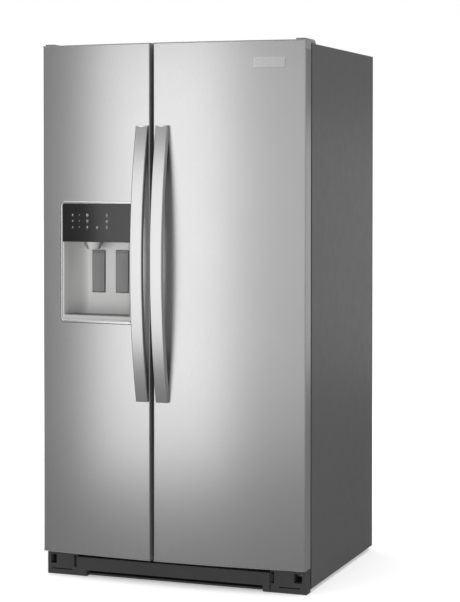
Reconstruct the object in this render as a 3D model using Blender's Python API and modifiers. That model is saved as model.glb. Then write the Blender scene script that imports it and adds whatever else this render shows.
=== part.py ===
"""Side-by-side refrigerator with a door dispenser, as separate sub-parts.

Metres. X points right, Y points back and Z points up. The floor is z = 0, and the
origin is the middle of the space that the closed refrigerator stands in.
"""
import math

import bmesh
import bpy
from mathutils import Matrix, Vector

# Driving dimensions
HALF_WIDTH = 0.4555
CABINET_FOOT = 0.0125
CABINET_TOP = 1.7485
CABINET_FRONT = -0.280
CABINET_BACK = 0.438
DOOR_FRONT = -0.346
DOOR_BACK = -0.2905
DOOR_BOTTOM = 0.0805
DOOR_TOP = 1.756
DOOR_BULGE = 0.0271
DOOR_GAP_X = -0.057
DOOR_GAP = 0.012
HANDLE_REACH = 0.064
HANDLE_BOTTOM = 0.5975
HANDLE_TOP = 1.4895
HANDLE_WIDTH = 0.042
HANDLE_END = 0.013
HANDLE_FOOT = 0.045
HANDLE_THICKNESS = 0.018
SCOOP_RADIUS = 0.020

SHEET = 0.0015
PLASTIC = 0.0025
FIT = 0.0003

# Compartments: interior limits
FREEZER_X = (-0.400, -0.087)
FRIDGE_X = (-0.027, 0.400)
FLOOR_Z = 0.135
CEILING_Z = 1.700
BACK_Y = 0.385
STEP_Y = 0.160
STEP_Z = 0.275
STEP_SLOPE = 0.030

# Machine compartment, low at the back
MACHINE_FRONT = 0.200
MACHINE_TOP = 0.230
PAN_Z = 0.054
FOAM_BOTTOM = 0.085
INLET_X, INLET_Z = 0.371, 0.170
VALVE_X, VALVE_Z = -0.035, 0.105

# Door hinges
HINGE_INSET = 0.022
HINGE_X = HALF_WIDTH - HINGE_INSET
HINGE_Y = DOOR_BACK - 0.035
PIN_RADIUS = 0.005
PIN_BORE = 0.0056
CAP = 0.003
PLUG = 0.016
HINGE_SHEET = 0.0025
LINER_EDGE = 0.003
LINER_SHEET = 0.002
DIKE_DEPTH = 0.045
DIKE_WALL = 0.018
DIKE_GAP = 0.017
DIKE_Z = (0.165, 1.670)
TAB_DROP = 0.029
TAB_INSET = 0.006
GASKET = 0.016
GASKET_REACH = 0.0245

# Dispenser, on the freezer door
BEZEL_X = (-0.390, -0.120)
BEZEL_Z = (0.8445, 1.2445)
BEZEL_RIM = 0.009
BEZEL_RADIUS = 0.014
PANEL_BOTTOM = 1.111
CAVITY_BACK = -0.264
RECESS_BACK = -0.2455
HOUSING_BACK = -0.243
BLOCK_BACK = -0.225
PADDLE_X = (-0.291, -0.206)
PADDLE_WIDTH = 0.0445
PADDLE_Z = (0.942, 1.0785)
PADDLE_FRONT = -0.270
PADDLE_SHEET = 0.004
PADDLE_PIVOT_Z = 1.072
CAVITY_REACH = 0.052
CHUTE_X, CHUTE_Y = -0.292, -0.306
CHUTE_WIDTH = 0.048
TRAY_TOP = 0.870
TRAY_PITCH = 0.0145

# Bins, shelves and drawers
BIN_REAR = -0.166
SHELF_BACK = 0.325
SHELF_FRONT = -0.130
SHELF_SHEET = 0.004
RIB = 0.009
RIB_HEIGHT = 0.008
DRAWER_FRONT = -0.120
UPPER_CRISPER_Z = (0.405, 0.600)
LOWER_DRAWER_Z = (0.150, 0.370)
UPPER_CRISPER_BACK = 0.340
LOWER_DRAWER_BACK = 0.140
FLANGE = 0.004
PULL_HALF = 0.07
CRISPER_SHELF_Z = 0.620
FRIDGE_SHELVES_Z = (1.290, 0.950)
FREEZER_SHELF_Z = 0.950

# Cooling parts
COVER_FRONT = 0.333
COVER_TOP = 1.250
COIL_Y = 0.362
MAKER_Y, MAKER_Z = 0.10, 1.60
MAKER_RADIUS = 0.052
FAN_X, FAN_Y, FAN_Z = -0.052, 0.325, 0.135
COMPRESSOR_AT = (0.245, 0.325)

# Toe grille
GRILLE_X = 0.452
GRILLE_Z = (0.001, 0.077)
GRILLE_Y = (-0.322, -0.300)
GRILLE_MIDDLE_X = (-0.344, 0.330)
GRILLE_NOTCH_X = (-0.310, 0.307)

# Rolling and levelling gear
ROLLER_RADIUS = 0.025
ROLLER_WIDTH = 0.022
ROLLER_X = 0.421
ROLLER_Y = 0.350
AXLE_RADIUS = 0.004
FOOT_Y = -0.235
FOOT_X = 0.421
FOOT_RADIUS = 0.018
FOOT_STEM = 0.0055
FOOT_BORE = 0.0061

# Colours (linear RGB), roughness, metallic
FINISHES = {
    "stainless": ((0.56, 0.56, 0.55), 0.32, 1.0),
    "grey_steel": ((0.13, 0.13, 0.135), 0.45, 0.2),
    "zinc_steel": ((0.55, 0.56, 0.57), 0.4, 1.0),
    "copper": ((0.72, 0.36, 0.20), 0.35, 1.0),
    "aluminium": ((0.75, 0.76, 0.77), 0.35, 1.0),
    "black_plastic": ((0.02, 0.02, 0.021), 0.5, 0.0),
    "black_gloss": ((0.008, 0.008, 0.009), 0.12, 0.0),
    "dark_plastic": ((0.05, 0.05, 0.052), 0.5, 0.0),
    "silver_plastic": ((0.62, 0.62, 0.61), 0.4, 0.0),
    "paddle_grey": ((0.25, 0.25, 0.255), 0.45, 0.0),
    "white_plastic": ((0.85, 0.86, 0.87), 0.35, 0.0),
    "clear_plastic": ((0.80, 0.86, 0.90), 0.1, 0.0),
    "shelf_glass": ((0.75, 0.85, 0.83), 0.05, 0.0),
    "foam": ((0.85, 0.72, 0.42), 0.9, 0.0),
    "gasket_rubber": ((0.35, 0.35, 0.36), 0.7, 0.0),
    "bright_trim": ((0.80, 0.80, 0.80), 0.18, 1.0),
}

for old in list(bpy.data.objects):
    bpy.data.objects.remove(old, do_unlink=True)

parts = bpy.data.collections.new("side_by_side_refrigerator")
cutters = bpy.data.collections.new("cutters")
for collection in (parts, cutters):
    bpy.context.scene.collection.children.link(collection)


# Building helpers ------------------------------------------------------------
def finish_material(slot):
    """The Principled material of one finish, made once."""
    if slot in bpy.data.materials:
        return bpy.data.materials[slot]
    colour, roughness, metallic = FINISHES[slot]
    material = bpy.data.materials.new(slot)
    material.use_nodes = True
    shader = material.node_tree.nodes["Principled BSDF"]
    shader.inputs["Base Color"].default_value = (*colour, 1.0)
    shader.inputs["Roughness"].default_value = roughness
    shader.inputs["Metallic"].default_value = metallic
    return material


def place(name, mesh, slot):
    """A named part, or a hidden cutter when it has no finish."""
    obj = bpy.data.objects.new(name, mesh)
    if slot:
        mesh.materials.append(finish_material(slot))
        parts.objects.link(obj)
    else:
        obj.hide_render = True
        obj.display_type = "WIRE"
        cutters.objects.link(obj)
    return obj


def box(name, low, high, slot=None):
    """A box between two corners."""
    low, high = Vector(low), Vector(high)
    bm = bmesh.new()
    bmesh.ops.create_cube(bm, size=1.0, matrix=Matrix.Diagonal((*(high - low), 1.0)))
    mesh = bpy.data.meshes.new(name)
    bm.to_mesh(mesh)
    bm.free()
    obj = place(name, mesh, slot)
    obj.location = (low + high) / 2
    return obj


PLANES = {  # local X, Y and Z of an outline that is extruded along an axis
    "X": Matrix(((0, 0, 1), (1, 0, 0), (0, 1, 0))),
    "Y": Matrix(((1, 0, 0), (0, 0, -1), (0, 1, 0))),
    "Z": Matrix.Identity(3),
}


def plate(name, outline, axis, low, high, slot=None, holes=()):
    """A flat outline with holes, extruded along an axis from low to high."""
    curve = bpy.data.curves.new(name, "CURVE")
    curve.dimensions = "2D"
    curve.fill_mode = "BOTH"
    curve.extrude = (high - low) / 2
    for loop in (outline, *holes):
        spline = curve.splines.new("POLY")
        spline.points.add(len(loop) - 1)
        for point, (u, v) in zip(spline.points, loop):
            point.co = (u, v, 0.0, 1.0)
        spline.use_cyclic_u = True
    guide = bpy.data.objects.new(name + "_outline", curve)
    cutters.objects.link(guide)
    mesh = solid_mesh(guide)
    obj = place(name, mesh, slot)
    turn = PLANES[axis]
    middle = turn @ Vector((0, 0, 1)) * (low + high) / 2
    if axis == "Y":
        middle = -middle
    obj.matrix_world = Matrix.Translation(middle) @ turn.to_4x4()
    return obj


def solid_mesh(guide):
    """The closed mesh of a curve object, which is then removed."""
    bpy.context.view_layer.update()
    evaluated = guide.evaluated_get(bpy.context.evaluated_depsgraph_get())
    mesh = bpy.data.meshes.new_from_object(evaluated)
    mesh.name = guide.name
    bpy.data.objects.remove(guide, do_unlink=True)
    bm = bmesh.new()
    bm.from_mesh(mesh)
    bmesh.ops.remove_doubles(bm, verts=bm.verts, dist=0.00002)
    bmesh.ops.recalc_face_normals(bm, faces=bm.faces)
    bm.to_mesh(mesh)
    bm.free()
    mesh.materials.clear()
    return mesh


def tube(name, points, radius, slot=None, sides=8):
    """A round wire or tube through points."""
    curve = bpy.data.curves.new(name, "CURVE")
    curve.dimensions = "3D"
    curve.bevel_depth = radius
    curve.bevel_resolution = sides // 2 - 2
    curve.use_fill_caps = True
    spline = curve.splines.new("POLY")
    spline.points.add(len(points) - 1)
    for point, place_at in zip(spline.points, points):
        point.co = (*place_at, 1.0)
    guide = bpy.data.objects.new(name + "_path", curve)
    cutters.objects.link(guide)
    return place(name, solid_mesh(guide), slot)


AXES = {"X": (1, 0, 0), "Y": (0, 1, 0), "Z": (0, 0, 1)}


def cylinder(name, centre, axis, radius, length, slot=None, segments=24, top_radius=None):
    """A cylinder or cone centred on a point, along an axis."""
    bm = bmesh.new()
    bmesh.ops.create_cone(bm, cap_ends=True, segments=segments, radius1=radius,
                          radius2=radius if top_radius is None else top_radius, depth=length)
    mesh = bpy.data.meshes.new(name)
    bm.to_mesh(mesh)
    bm.free()
    obj = place(name, mesh, slot)
    turn = Vector((0, 0, 1)).rotation_difference(Vector(AXES[axis]))
    obj.matrix_world = Matrix.Translation(centre) @ turn.to_matrix().to_4x4()
    if slot:
        mesh.shade_smooth()
        mesh.set_sharp_from_angle(angle=math.radians(40))
    return obj


def combine(target, operation, *others):
    """Boolean modifiers: DIFFERENCE, UNION or INTERSECT with each other object."""
    for other in others:
        modifier = target.modifiers.new(operation.title(), "BOOLEAN")
        modifier.operation = operation
        modifier.solver = "EXACT"
        modifier.object = other
    return target


def cut(target, *others):
    return combine(target, "DIFFERENCE", *others)


def join(target, *others):
    return combine(target, "UNION", *others)


def soften(target, width, segments=2, angle=40):
    """Rounded edges on everything sharper than an angle."""
    modifier = target.modifiers.new("Bevel", "BEVEL")
    modifier.width = width
    modifier.segments = segments
    modifier.limit_method = "ANGLE"
    modifier.angle_limit = math.radians(angle)
    return target


# Outlines --------------------------------------------------------------------
def arc(centre, radius, start, end, steps):
    """Points along an arc, angles in degrees."""
    angles = [math.radians(start + (end - start) * i / steps) for i in range(steps + 1)]
    return [(centre[0] + radius * math.cos(a), centre[1] + radius * math.sin(a)) for a in angles]


def rectangle(u0, v0, u1, v1, radius=0.0, top_radius=None, steps=3):
    """A rectangle, with round corners where it has a radius."""
    top_radius = radius if top_radius is None else top_radius
    corners = ((u1, v0, -1, 1, radius, -90), (u1, v1, -1, -1, top_radius, 0),
               (u0, v1, 1, -1, top_radius, 90), (u0, v0, 1, 1, radius, 180))
    points = []
    for u, v, inward_u, inward_v, r, start in corners:
        points += arc((u + inward_u * r, v + inward_v * r), r, start, start + 90, steps) if r else [(u, v)]
    return points


def front_y(x, proud=0.0):
    """The doors' curved front, or a surface that stands proud of it."""
    return DOOR_FRONT - DOOR_BULGE * (1 - (x / HALF_WIDTH) ** 2) - proud


def front_curve(x0, x1, proud=0.0, steps=12):
    """Plan points along the doors' front, from x0 to x1."""
    xs = [x0 + (x1 - x0) * i / steps for i in range(steps + 1)]
    return [(x, front_y(x, proud)) for x in xs]


def door_plan(x0, x1, back, inset=0.0, steps=12):
    """A door's outline from above, pulled in by an inset at the front and the sides."""
    return [(x1 - inset, back), (x0 + inset, back)] + front_curve(x0 + inset, x1 - inset, -inset, steps)


def curved_slab(name, outline, proud, depth, slot=None, holes=()):
    """A piece set into a door: a front outline, between two curved surfaces."""
    us = [u for u, v in outline]
    piece = plate(name, outline, "Y", DOOR_FRONT - 0.06, DOOR_FRONT + 0.06, slot, holes)
    x0, x1 = min(us) - 0.01, max(us) + 0.01
    plan = front_curve(x0, x1, proud, 8) + front_curve(x0, x1, proud - depth, 8)[::-1]
    vs = [v for u, v in outline]
    return combine(piece, "INTERSECT", plate(name + "_slab", plan, "Z", min(vs) - 0.01, max(vs) + 0.01))


def serpentine(x0, x1, rows, z0, pitch, y, steps=5):
    """A tube path that runs to and fro in rows, with half-round turns."""
    points = []
    radius = pitch / 2
    for row in range(rows):
        ends = (x0, x1) if row % 2 == 0 else (x1, x0)
        z = z0 + row * pitch
        points += [(x, y, z) for x in ends]
        if row < rows - 1:
            side = 1 if ends[1] > ends[0] else -1
            for i in range(1, steps):
                a = math.pi * i / steps
                points.append((ends[1] + side * radius * math.sin(a), y, z + radius - radius * math.cos(a)))
    return points


# Cabinet ---------------------------------------------------------------------
def cabinet_outline(inset, bottom):
    """The cabinet from the front, with rounded top corners."""
    side, top, radius = HALF_WIDTH - inset, CABINET_TOP - inset, 0.006
    corners = arc((side - radius, top - radius), radius, 0, 90, 3)
    corners += arc((-side + radius, top - radius), radius, 90, 180, 3)
    return [(-side, bottom), (side, bottom)] + corners


def opening(side_x, grow=0.0):
    """A compartment's opening from the front."""
    return rectangle(side_x[0] - grow, FLOOR_Z - grow, side_x[1] + grow, CEILING_Z + grow, 0.012 + grow)


def interior_profile(grow=0.0, front=None):
    """A compartment from the side, with its raised floor over the machine compartment."""
    front = CABINET_FRONT + SHEET + FIT if front is None else front
    step, back = STEP_Y + grow / 2, BACK_Y + grow
    low, high, raised = FLOOR_Z - grow, CEILING_Z + grow, STEP_Z - grow
    slope = [(step, low), (step + STEP_SLOPE, raised)]
    return [(front, low), *slope, (back, raised), (back, high), (front, high)]


def make_cabinet():
    """Steel wrapper, back panels, foam and the two liners."""
    rear = CABINET_BACK - SHEET - FIT
    before, behind = CABINET_FRONT - 0.01, CABINET_FRONT + 0.01
    outline = cabinet_outline(0, CABINET_FOOT)
    inside = cabinet_outline(SHEET, -0.01)
    wrapper = plate("cabinet_wrapper", outline, "Y", CABINET_FRONT, rear, "grey_steel")
    room = plate("wrapper_inside", inside, "Y", CABINET_FRONT + SHEET, rear + 0.02)
    freezer_opening = plate("freezer_opening", opening(FREEZER_X), "Y", before, behind)
    fridge_opening = plate("fridge_opening", opening(FRIDGE_X), "Y", before, behind)
    toe_half = HALF_WIDTH - 0.020
    toe_space = box("toe_space", (-toe_half, before, -0.01), (toe_half, behind, FOAM_BOTTOM + 0.004))
    cut(wrapper, room, freezer_opening, fridge_opening, toe_space)

    side = HALF_WIDTH - 0.003
    back_outline = rectangle(-side, MACHINE_TOP + 0.022, side, CABINET_TOP - 0.004)
    plate("back_panel", back_outline, "Y", CABINET_BACK - SHEET, CABINET_BACK, "zinc_steel")
    vents = [rectangle(x, z, x + 0.15, z + 0.008)
             for x in (-0.40, -0.225, 0.05) for z in [0.065 + 0.022 * i for i in range(7)]]
    ports = [rectangle(INLET_X - 0.021, INLET_Z - 0.016, INLET_X + 0.021, INLET_Z + 0.016, 0.003),
             rectangle(VALVE_X - 0.014, VALVE_Z - 0.014, VALVE_X + 0.014, VALVE_Z + 0.014, 0.006)]
    cover_outline = rectangle(-side, 0.030, side, MACHINE_TOP + 0.019)
    plate("machine_compartment_cover", cover_outline, "Y", CABINET_BACK - SHEET, CABINET_BACK, "dark_plastic",
          holes=vents + ports)

    inner = HALF_WIDTH - SHEET - FIT
    front = CABINET_FRONT + SHEET + FIT
    foam_top = CABINET_TOP - SHEET - 0.006
    profile = [(front, FOAM_BOTTOM), (MACHINE_FRONT, FOAM_BOTTOM), (MACHINE_FRONT + 0.02, MACHINE_TOP),
               (rear - FIT, MACHINE_TOP), (rear - FIT, foam_top), (front, foam_top)]
    foam = plate("cabinet_foam", profile, "X", -inner, inner, "foam")
    for name, (x0, x1) in (("freezer", FREEZER_X), ("refrigerator", FRIDGE_X)):
        shell = LINER_SHEET + FIT
        cut(foam, plate(name + "_pocket", interior_profile(shell, front - 0.01), "X", x0 - shell, x1 + shell))
        make_liner(name, x0, x1)


def make_liner(name, x0, x1):
    """A compartment's shell, with ledges along its walls."""
    liner = plate(name + "_liner", interior_profile(LINER_SHEET), "X", x0 - LINER_SHEET, x1 + LINER_SHEET,
                  "white_plastic")
    cut(liner, plate(name + "_room", interior_profile(0.0, CABINET_FRONT - 0.01), "X", x0, x1))
    drawer_ledge = DRAWER_FRONT + 0.006
    levels = [(LOWER_DRAWER_Z[1] - FLANGE, drawer_ledge, LOWER_DRAWER_BACK + 0.01)]
    if name == "freezer":
        levels.append((FREEZER_SHELF_Z, SHELF_FRONT, SHELF_BACK))
    else:
        levels.append((UPPER_CRISPER_Z[1] - FLANGE, drawer_ledge, UPPER_CRISPER_BACK + 0.01))
        levels += [(z, SHELF_FRONT, SHELF_BACK) for z in (CRISPER_SHELF_Z, *FRIDGE_SHELVES_Z)]
    for z, y0, y1 in levels:
        for wall, inward in ((x0, 1), (x1, -1)):
            ends = sorted((wall - inward * LINER_SHEET / 2, wall + inward * RIB))
            join(liner, box(name + "_ledge", (ends[0], y0, z - FIT - RIB_HEIGHT), (ends[1], y1, z - FIT)))


def make_chassis():
    """Side rails, the rear tray, the roller brackets and the foot blocks."""
    tray = box("base_chassis", (-0.447, 0.212, PAN_Z), (0.447, 0.434, PAN_Z + 0.002), "zinc_steel")
    for side in (-1, 1):
        ends = sorted((side * 0.398, side * 0.447))
        join(tray, box("rail", (ends[0], -0.262, PAN_Z), (ends[1], 0.434, FOAM_BOTTOM - FIT)))
        for x in (0.4055, 0.4365):
            ear = rectangle(ROLLER_Y - 0.016, ROLLER_RADIUS - 0.010, ROLLER_Y + 0.016, PAN_Z + 0.004, 0.006)
            edges = sorted((side * (x - 0.001), side * (x + 0.001)))
            join(tray, plate("ear", ear, "X", *edges))
        axle_at = (side * ROLLER_X, ROLLER_Y, ROLLER_RADIUS)
        join(tray, cylinder("axle", axle_at, "X", AXLE_RADIUS, 0.033, segments=16))
    join(tray, box("front_crossbar", (-0.40, -0.262, PAN_Z + 0.012), (0.40, -0.242, FOAM_BOTTOM - FIT)))
    for side in (-1, 1):
        cut(tray, cylinder("foot_hole", (side * FOOT_X, FOOT_Y, PAN_Z), "Z", FOOT_BORE, 0.05, segments=16))
    for name, side in (("left", -1), ("right", 1)):
        make_roller(name, (side * ROLLER_X, ROLLER_Y, ROLLER_RADIUS))
        make_foot(name, side * FOOT_X)


def make_roller(name, at):
    """A wheel that turns on its bracket's axle."""
    roller = cylinder("rear_roller_" + name, at, "X", ROLLER_RADIUS, ROLLER_WIDTH, "dark_plastic", 32)
    cut(roller, cylinder("roller_bore", at, "X", AXLE_RADIUS + FIT, 0.05, segments=16))


def make_foot(name, x):
    """A round foot with a hexagon to turn it by and a stem that screws into the rail."""
    foot = cylinder("levelling_foot_" + name, (x, FOOT_Y, 0.005), "Z", FOOT_RADIUS, 0.010, "dark_plastic")
    hexagon = cylinder("foot_hex", (x, FOOT_Y, 0.015), "Z", 0.010, 0.011, segments=6)
    stem = cylinder("foot_stem", (x, FOOT_Y, 0.038), "Z", FOOT_STEM, 0.062, segments=16)
    join(foot, hexagon, stem)


def make_toe_grille():
    """The front grille: a raised middle with end blocks, slots and a notch along the bottom."""
    z0, z1 = GRILLE_Z
    front, back = GRILLE_Y
    left, right = GRILLE_MIDDLE_X
    grille = plate("toe_grille", rectangle(-GRILLE_X, z0, GRILLE_X, z1), "Y", front, back, "black_plastic")
    middle = rectangle(left, z0 + 0.003, right, z1 - 0.0125, 0.004)
    join(grille, plate("grille_middle", middle, "Y", front - 0.006, front + 0.005))
    before, behind = front - 0.02, back + 0.01
    slots = []
    for x, half, bottom in ((left - 0.008, 0.0045, 0.030), (right + 0.0085, 0.0045, 0.030),
                            (-0.431, 0.010, 0.036), (0.424, 0.013, 0.036)):
        slots.append(box("end_slot", (x - half, before, bottom), (x + half, behind, 0.066)))
    slots.append(box("top_gap", (left + 0.002, before, z1 - 0.012), (right - 0.002, behind, z1 + 0.01)))
    for x in (-0.400, 0.395):
        low = (x - 0.035, front - 0.002, 0.0170)
        slots.append(box("end_groove", low, (x + 0.035, front + 0.010, 0.0205)))
    notch_left, notch_right = GRILLE_NOTCH_X
    slots.append(box("bottom_notch", (notch_left, before, z0 - 0.01), (notch_right, behind, 0.0215)))
    cut(grille, *slots)
    for side in (-1, 1):
        edges = sorted((side * (GRILLE_X + 0.0005), side * (GRILLE_X - 0.0025)))
        low = (edges[0] - 0.0005, front, z0)
        high = (edges[1] - 0.0005, CABINET_FRONT - FIT, z1)
        join(grille, box("return", low, high))
    low = (notch_left - 0.001, front + 0.006, z0 + 0.004)
    join(grille, box("middle_bar", low, (notch_right + 0.001, back - 0.004, z0 + 0.010)))


# Hinges ----------------------------------------------------------------------
def make_hinges():
    """Top and bottom hinge plates with their pins, and the top covers."""
    for name, side in (("freezer", -1), ("refrigerator", 1)):
        make_top_hinge(name, side)
        make_bottom_hinge(name, side)
        make_hinge_cover(name, side)


def make_top_hinge(name, side):
    """A plate on the cabinet's top with an arm over the door, and a pin down into it."""
    top, lift = CABINET_TOP + FIT, DOOR_TOP + FIT
    root, arm_root = CABINET_FRONT + 0.012, CABINET_FRONT + 0.016
    outline = rectangle(*sorted_box(side, 0.008, 0.075, root, CABINET_FRONT + 0.048), 0.008)
    hinge = plate(name + "_top_hinge", outline, "Z", top, top + HINGE_SHEET, "zinc_steel")
    left, _, right, _ = sorted_box(side, 0.008, 0.032, root, arm_root)
    riser = box("arm_riser", (left, root, top), (right, arm_root, lift + HINGE_SHEET))
    arm = box("arm", (left, HINGE_Y - 0.010, lift), (right, arm_root, lift + HINGE_SHEET))
    pin = cylinder("top_pin", (side * HINGE_X, HINGE_Y, lift - 0.010), "Z", PIN_RADIUS, 0.022, segments=16)
    join(hinge, riser, arm, pin)


def make_bottom_hinge(name, side):
    """A bracket on the cabinet's front with a pin up into the door."""
    bottom, rear = DOOR_BOTTOM - FIT, CABINET_FRONT - FIT
    outline = rectangle(*sorted_box(side, 0.010, 0.048, HINGE_Y - 0.014, rear), 0.004)
    hinge = plate(name + "_bottom_hinge", outline, "Z", bottom - 0.003, bottom, "zinc_steel")
    left, front, right, _ = sorted_box(side, 0.018, 0.048, CABINET_FRONT - 0.0035, rear)
    leg = box("hinge_leg", (left, front, bottom - 0.030), (right, rear, bottom))
    pin_at = (side * HINGE_X, HINGE_Y, bottom + 0.008)
    join(hinge, leg, cylinder("bottom_pin", pin_at, "Z", PIN_RADIUS, 0.020, segments=16))


def make_hinge_cover(name, side):
    """A hood over the hinge plate, with a narrow nose over the arm."""
    wide = sorted((side * (HALF_WIDTH - 0.005), side * (HALF_WIDTH - 0.085)))
    narrow = sorted((side * (HALF_WIDTH - 0.005), side * (HALF_WIDTH - 0.035)))
    nose, front, rear = HINGE_Y - 0.013, CABINET_FRONT + 0.004, CABINET_FRONT + 0.056
    base, over_door, crown = CABINET_TOP + FIT, DOOR_TOP + FIT, DOOR_TOP + 0.0052
    wall, roof = 0.002, crown - 0.0015
    profile = [(front, base), (rear, base), (rear - 0.003, base + 0.005), (rear - 0.016, crown)]
    profile.append((front, crown))
    hood = plate(name + "_hinge_cover", profile, "X", *wide, "dark_plastic")
    join(hood, box("cover_nose", (narrow[0], nose, over_door), (narrow[1], front + 0.02, crown)))
    inner_front = front + wall
    profile = [(inner_front, base - 0.01), (rear - 0.005, base - 0.01), (rear - 0.0065, base + 0.004),
               (rear - 0.0175, roof), (inner_front, roof)]
    room = plate("cover_room", profile, "X", wide[0] + wall, wide[1] - wall)
    low = (narrow[0] + wall, nose + wall, over_door - 0.01)
    nose_room = box("nose_room", low, (narrow[1] - wall, front + 0.01, roof))
    cut(hood, room, nose_room)


def sorted_box(side, near, far, y0, y1):
    """Plan limits of a piece at one side, from its distances to the outer edge."""
    xs = sorted((side * (HALF_WIDTH - near), side * (HALF_WIDTH - far)))
    return xs[0], y0, xs[1], y1


# Doors -----------------------------------------------------------------------
def door_limits(name):
    if name == "freezer":
        return -HALF_WIDTH, DOOR_GAP_X - DOOR_GAP / 2
    return DOOR_GAP_X + DOOR_GAP / 2, HALF_WIDTH


def make_door(name, side, compartment):
    """Skin, end caps, foam, liner and gasket of one door."""
    x0, x1 = door_limits(name)
    skin_back = DOOR_BACK - LINER_SHEET - FIT
    skin = make_skin(name, side, x0, x1, skin_back)
    make_end_caps(name, side, x0, x1, skin_back)
    foam_plan = door_plan(x0, x1, skin_back - FIT, SHEET + FIT)
    foam_bottom, foam_top = DOOR_BOTTOM + CAP + PLUG + 0.001, DOOR_TOP - TAB_DROP - 0.002
    foam = plate(name + "_door_foam", foam_plan, "Z", foam_bottom, foam_top, "foam")
    liner = make_door_liner(name, x0, x1, compartment)
    make_gasket(name, compartment)
    return skin, foam, liner


def make_skin(name, side, x0, x1, back):
    """The bent sheet steel front, with a notch at the hinge corner for the top cap's tab."""
    z0, z1 = DOOR_BOTTOM + CAP + FIT, DOOR_TOP - CAP - FIT
    skin = plate(name + "_door_skin", door_plan(x0, x1, back), "Z", z0, z1, "stainless")
    inside = door_plan(x0, x1, back + 0.01, SHEET)
    room = plate(name + "_skin_room", inside, "Z", z0 - 0.01, z1 + 0.01)
    left, front, right, rear = sorted_box(side, -0.01, SHEET + 0.0001, DOOR_FRONT + TAB_INSET, back + 0.01)
    notch = box(name + "_skin_notch", (left, front, DOOR_TOP - TAB_DROP - FIT), (right, rear, DOOR_TOP))
    return cut(skin, room, notch)


def make_end_caps(name, side, x0, x1, back):
    """Moulded caps that plug into the skin's ends and carry the hinge bores."""
    inset = SHEET + FIT
    low_end, high_end = DOOR_BOTTOM + CAP, DOOR_TOP - CAP
    ends = {"top": (high_end, DOOR_TOP), "bottom": (DOOR_BOTTOM, low_end)}
    plugs = {"top": (high_end - PLUG, high_end), "bottom": (low_end, low_end + PLUG)}
    for level, outward in (("top", 1), ("bottom", -1)):
        low, high = plugs[level]
        cap = plate(f"{name}_door_{level}_cap", door_plan(x0, x1, back), "Z", *ends[level], "dark_plastic")
        plug_plan = door_plan(x0, x1, back - 0.001, inset)
        join(cap, plate("cap_plug", plug_plan, "Z", low - 0.0005, high + 0.0005))
        reach = (low - 0.01, high - 0.002) if outward > 0 else (low + 0.002, high + 0.01)
        room_plan = door_plan(x0, x1, back - 0.001 - PLASTIC, inset + PLASTIC)
        cut(cap, plate("cap_room", room_plan, "Z", *reach))
        hinge_x, middle = side * HINGE_X, (low + high) / 2
        join(cap, cylinder("hinge_boss", (hinge_x, HINGE_Y, middle), "Z", 0.011, PLUG, segments=16))
        bore_at = (hinge_x, HINGE_Y, middle + 0.004 * outward)
        cut(cap, cylinder("hinge_bore", bore_at, "Z", PIN_BORE, PLUG + 0.010, segments=16))
        if level == "top":
            tab_front = DOOR_FRONT + TAB_INSET + FIT
            left, front, right, rear = sorted_box(side, 0.0, SHEET + 0.002, tab_front, back)
            tab_bottom, tab_top = DOOR_TOP - TAB_DROP, DOOR_TOP - 0.001
            join(cap, box("side_tab", (left, front, tab_bottom), (right, rear, tab_top)))


def make_door_liner(name, x0, x1, compartment):
    """The door's inner sheet, with a raised dike that holds the bins."""
    outline = rectangle(x0 + LINER_EDGE, DOOR_BOTTOM + 0.004, x1 - LINER_EDGE, DOOR_TOP - 0.004)
    liner = plate(name + "_door_liner", outline, "Y", DOOR_BACK - LINER_SHEET, DOOR_BACK, "white_plastic")
    left, right = dike_limits(compartment)
    low, high = DIKE_Z
    outer = rectangle(left, low, right, high, 0.012)
    inner = rectangle(left + DIKE_WALL, low + DIKE_WALL, right - DIKE_WALL, high - DIKE_WALL, 0.010)
    return join(liner, plate("dike", outer, "Y", DOOR_BACK - 0.001, DOOR_BACK + DIKE_DEPTH, holes=(inner,)))


def make_gasket(name, compartment):
    """The soft frame between the door and the cabinet's front."""
    x0, x1 = compartment[0] - GASKET_REACH, compartment[1] + GASKET_REACH
    z0, z1 = FLOOR_Z - GASKET_REACH, CEILING_Z + GASKET_REACH
    outer = rectangle(x0, z0, x1, z1, 0.010)
    inner = rectangle(x0 + GASKET, z0 + GASKET, x1 - GASKET, z1 - GASKET, 0.004)
    front, back = DOOR_BACK + FIT, CABINET_FRONT - FIT
    plate(name + "_door_gasket", outer, "Y", front, back, "gasket_rubber", holes=(inner,))


def dike_limits(compartment):
    return compartment[0] + DIKE_GAP, compartment[1] - DIKE_GAP


def make_handle(name, middle_x):
    """A bowed bar that meets the door at both ends."""
    surface = front_y(middle_x) - FIT - 0.0006
    middle_z = (HANDLE_BOTTOM + HANDLE_TOP) / 2
    half = (HANDLE_TOP - HANDLE_BOTTOM) / 2

    def bow(edge, rise, steps, length):
        zs = [-length + 2 * length * i / steps for i in range(steps + 1)]
        return [(surface - edge - rise * (1 - (z / length) ** 2), middle_z + z) for z in zs]

    outer = bow(HANDLE_END, HANDLE_REACH - HANDLE_END, 20, half)
    inner = bow(0.0, HANDLE_REACH - HANDLE_THICKNESS, 16, half - HANDLE_FOOT)
    outline = outer + [(surface, HANDLE_TOP)] + inner[::-1] + [(surface, HANDLE_BOTTOM)]
    left, right = middle_x - HANDLE_WIDTH / 2, middle_x + HANDLE_WIDTH / 2
    bar = plate(name + "_door_handle", outline, "X", left, right, "stainless")
    for z in (HANDLE_BOTTOM - 0.0145, HANDLE_TOP + 0.0145):
        cut(bar, cylinder("end_scoop", (middle_x, surface - HANDLE_END / 2, z), "Y", SCOOP_RADIUS, 0.05))


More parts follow.
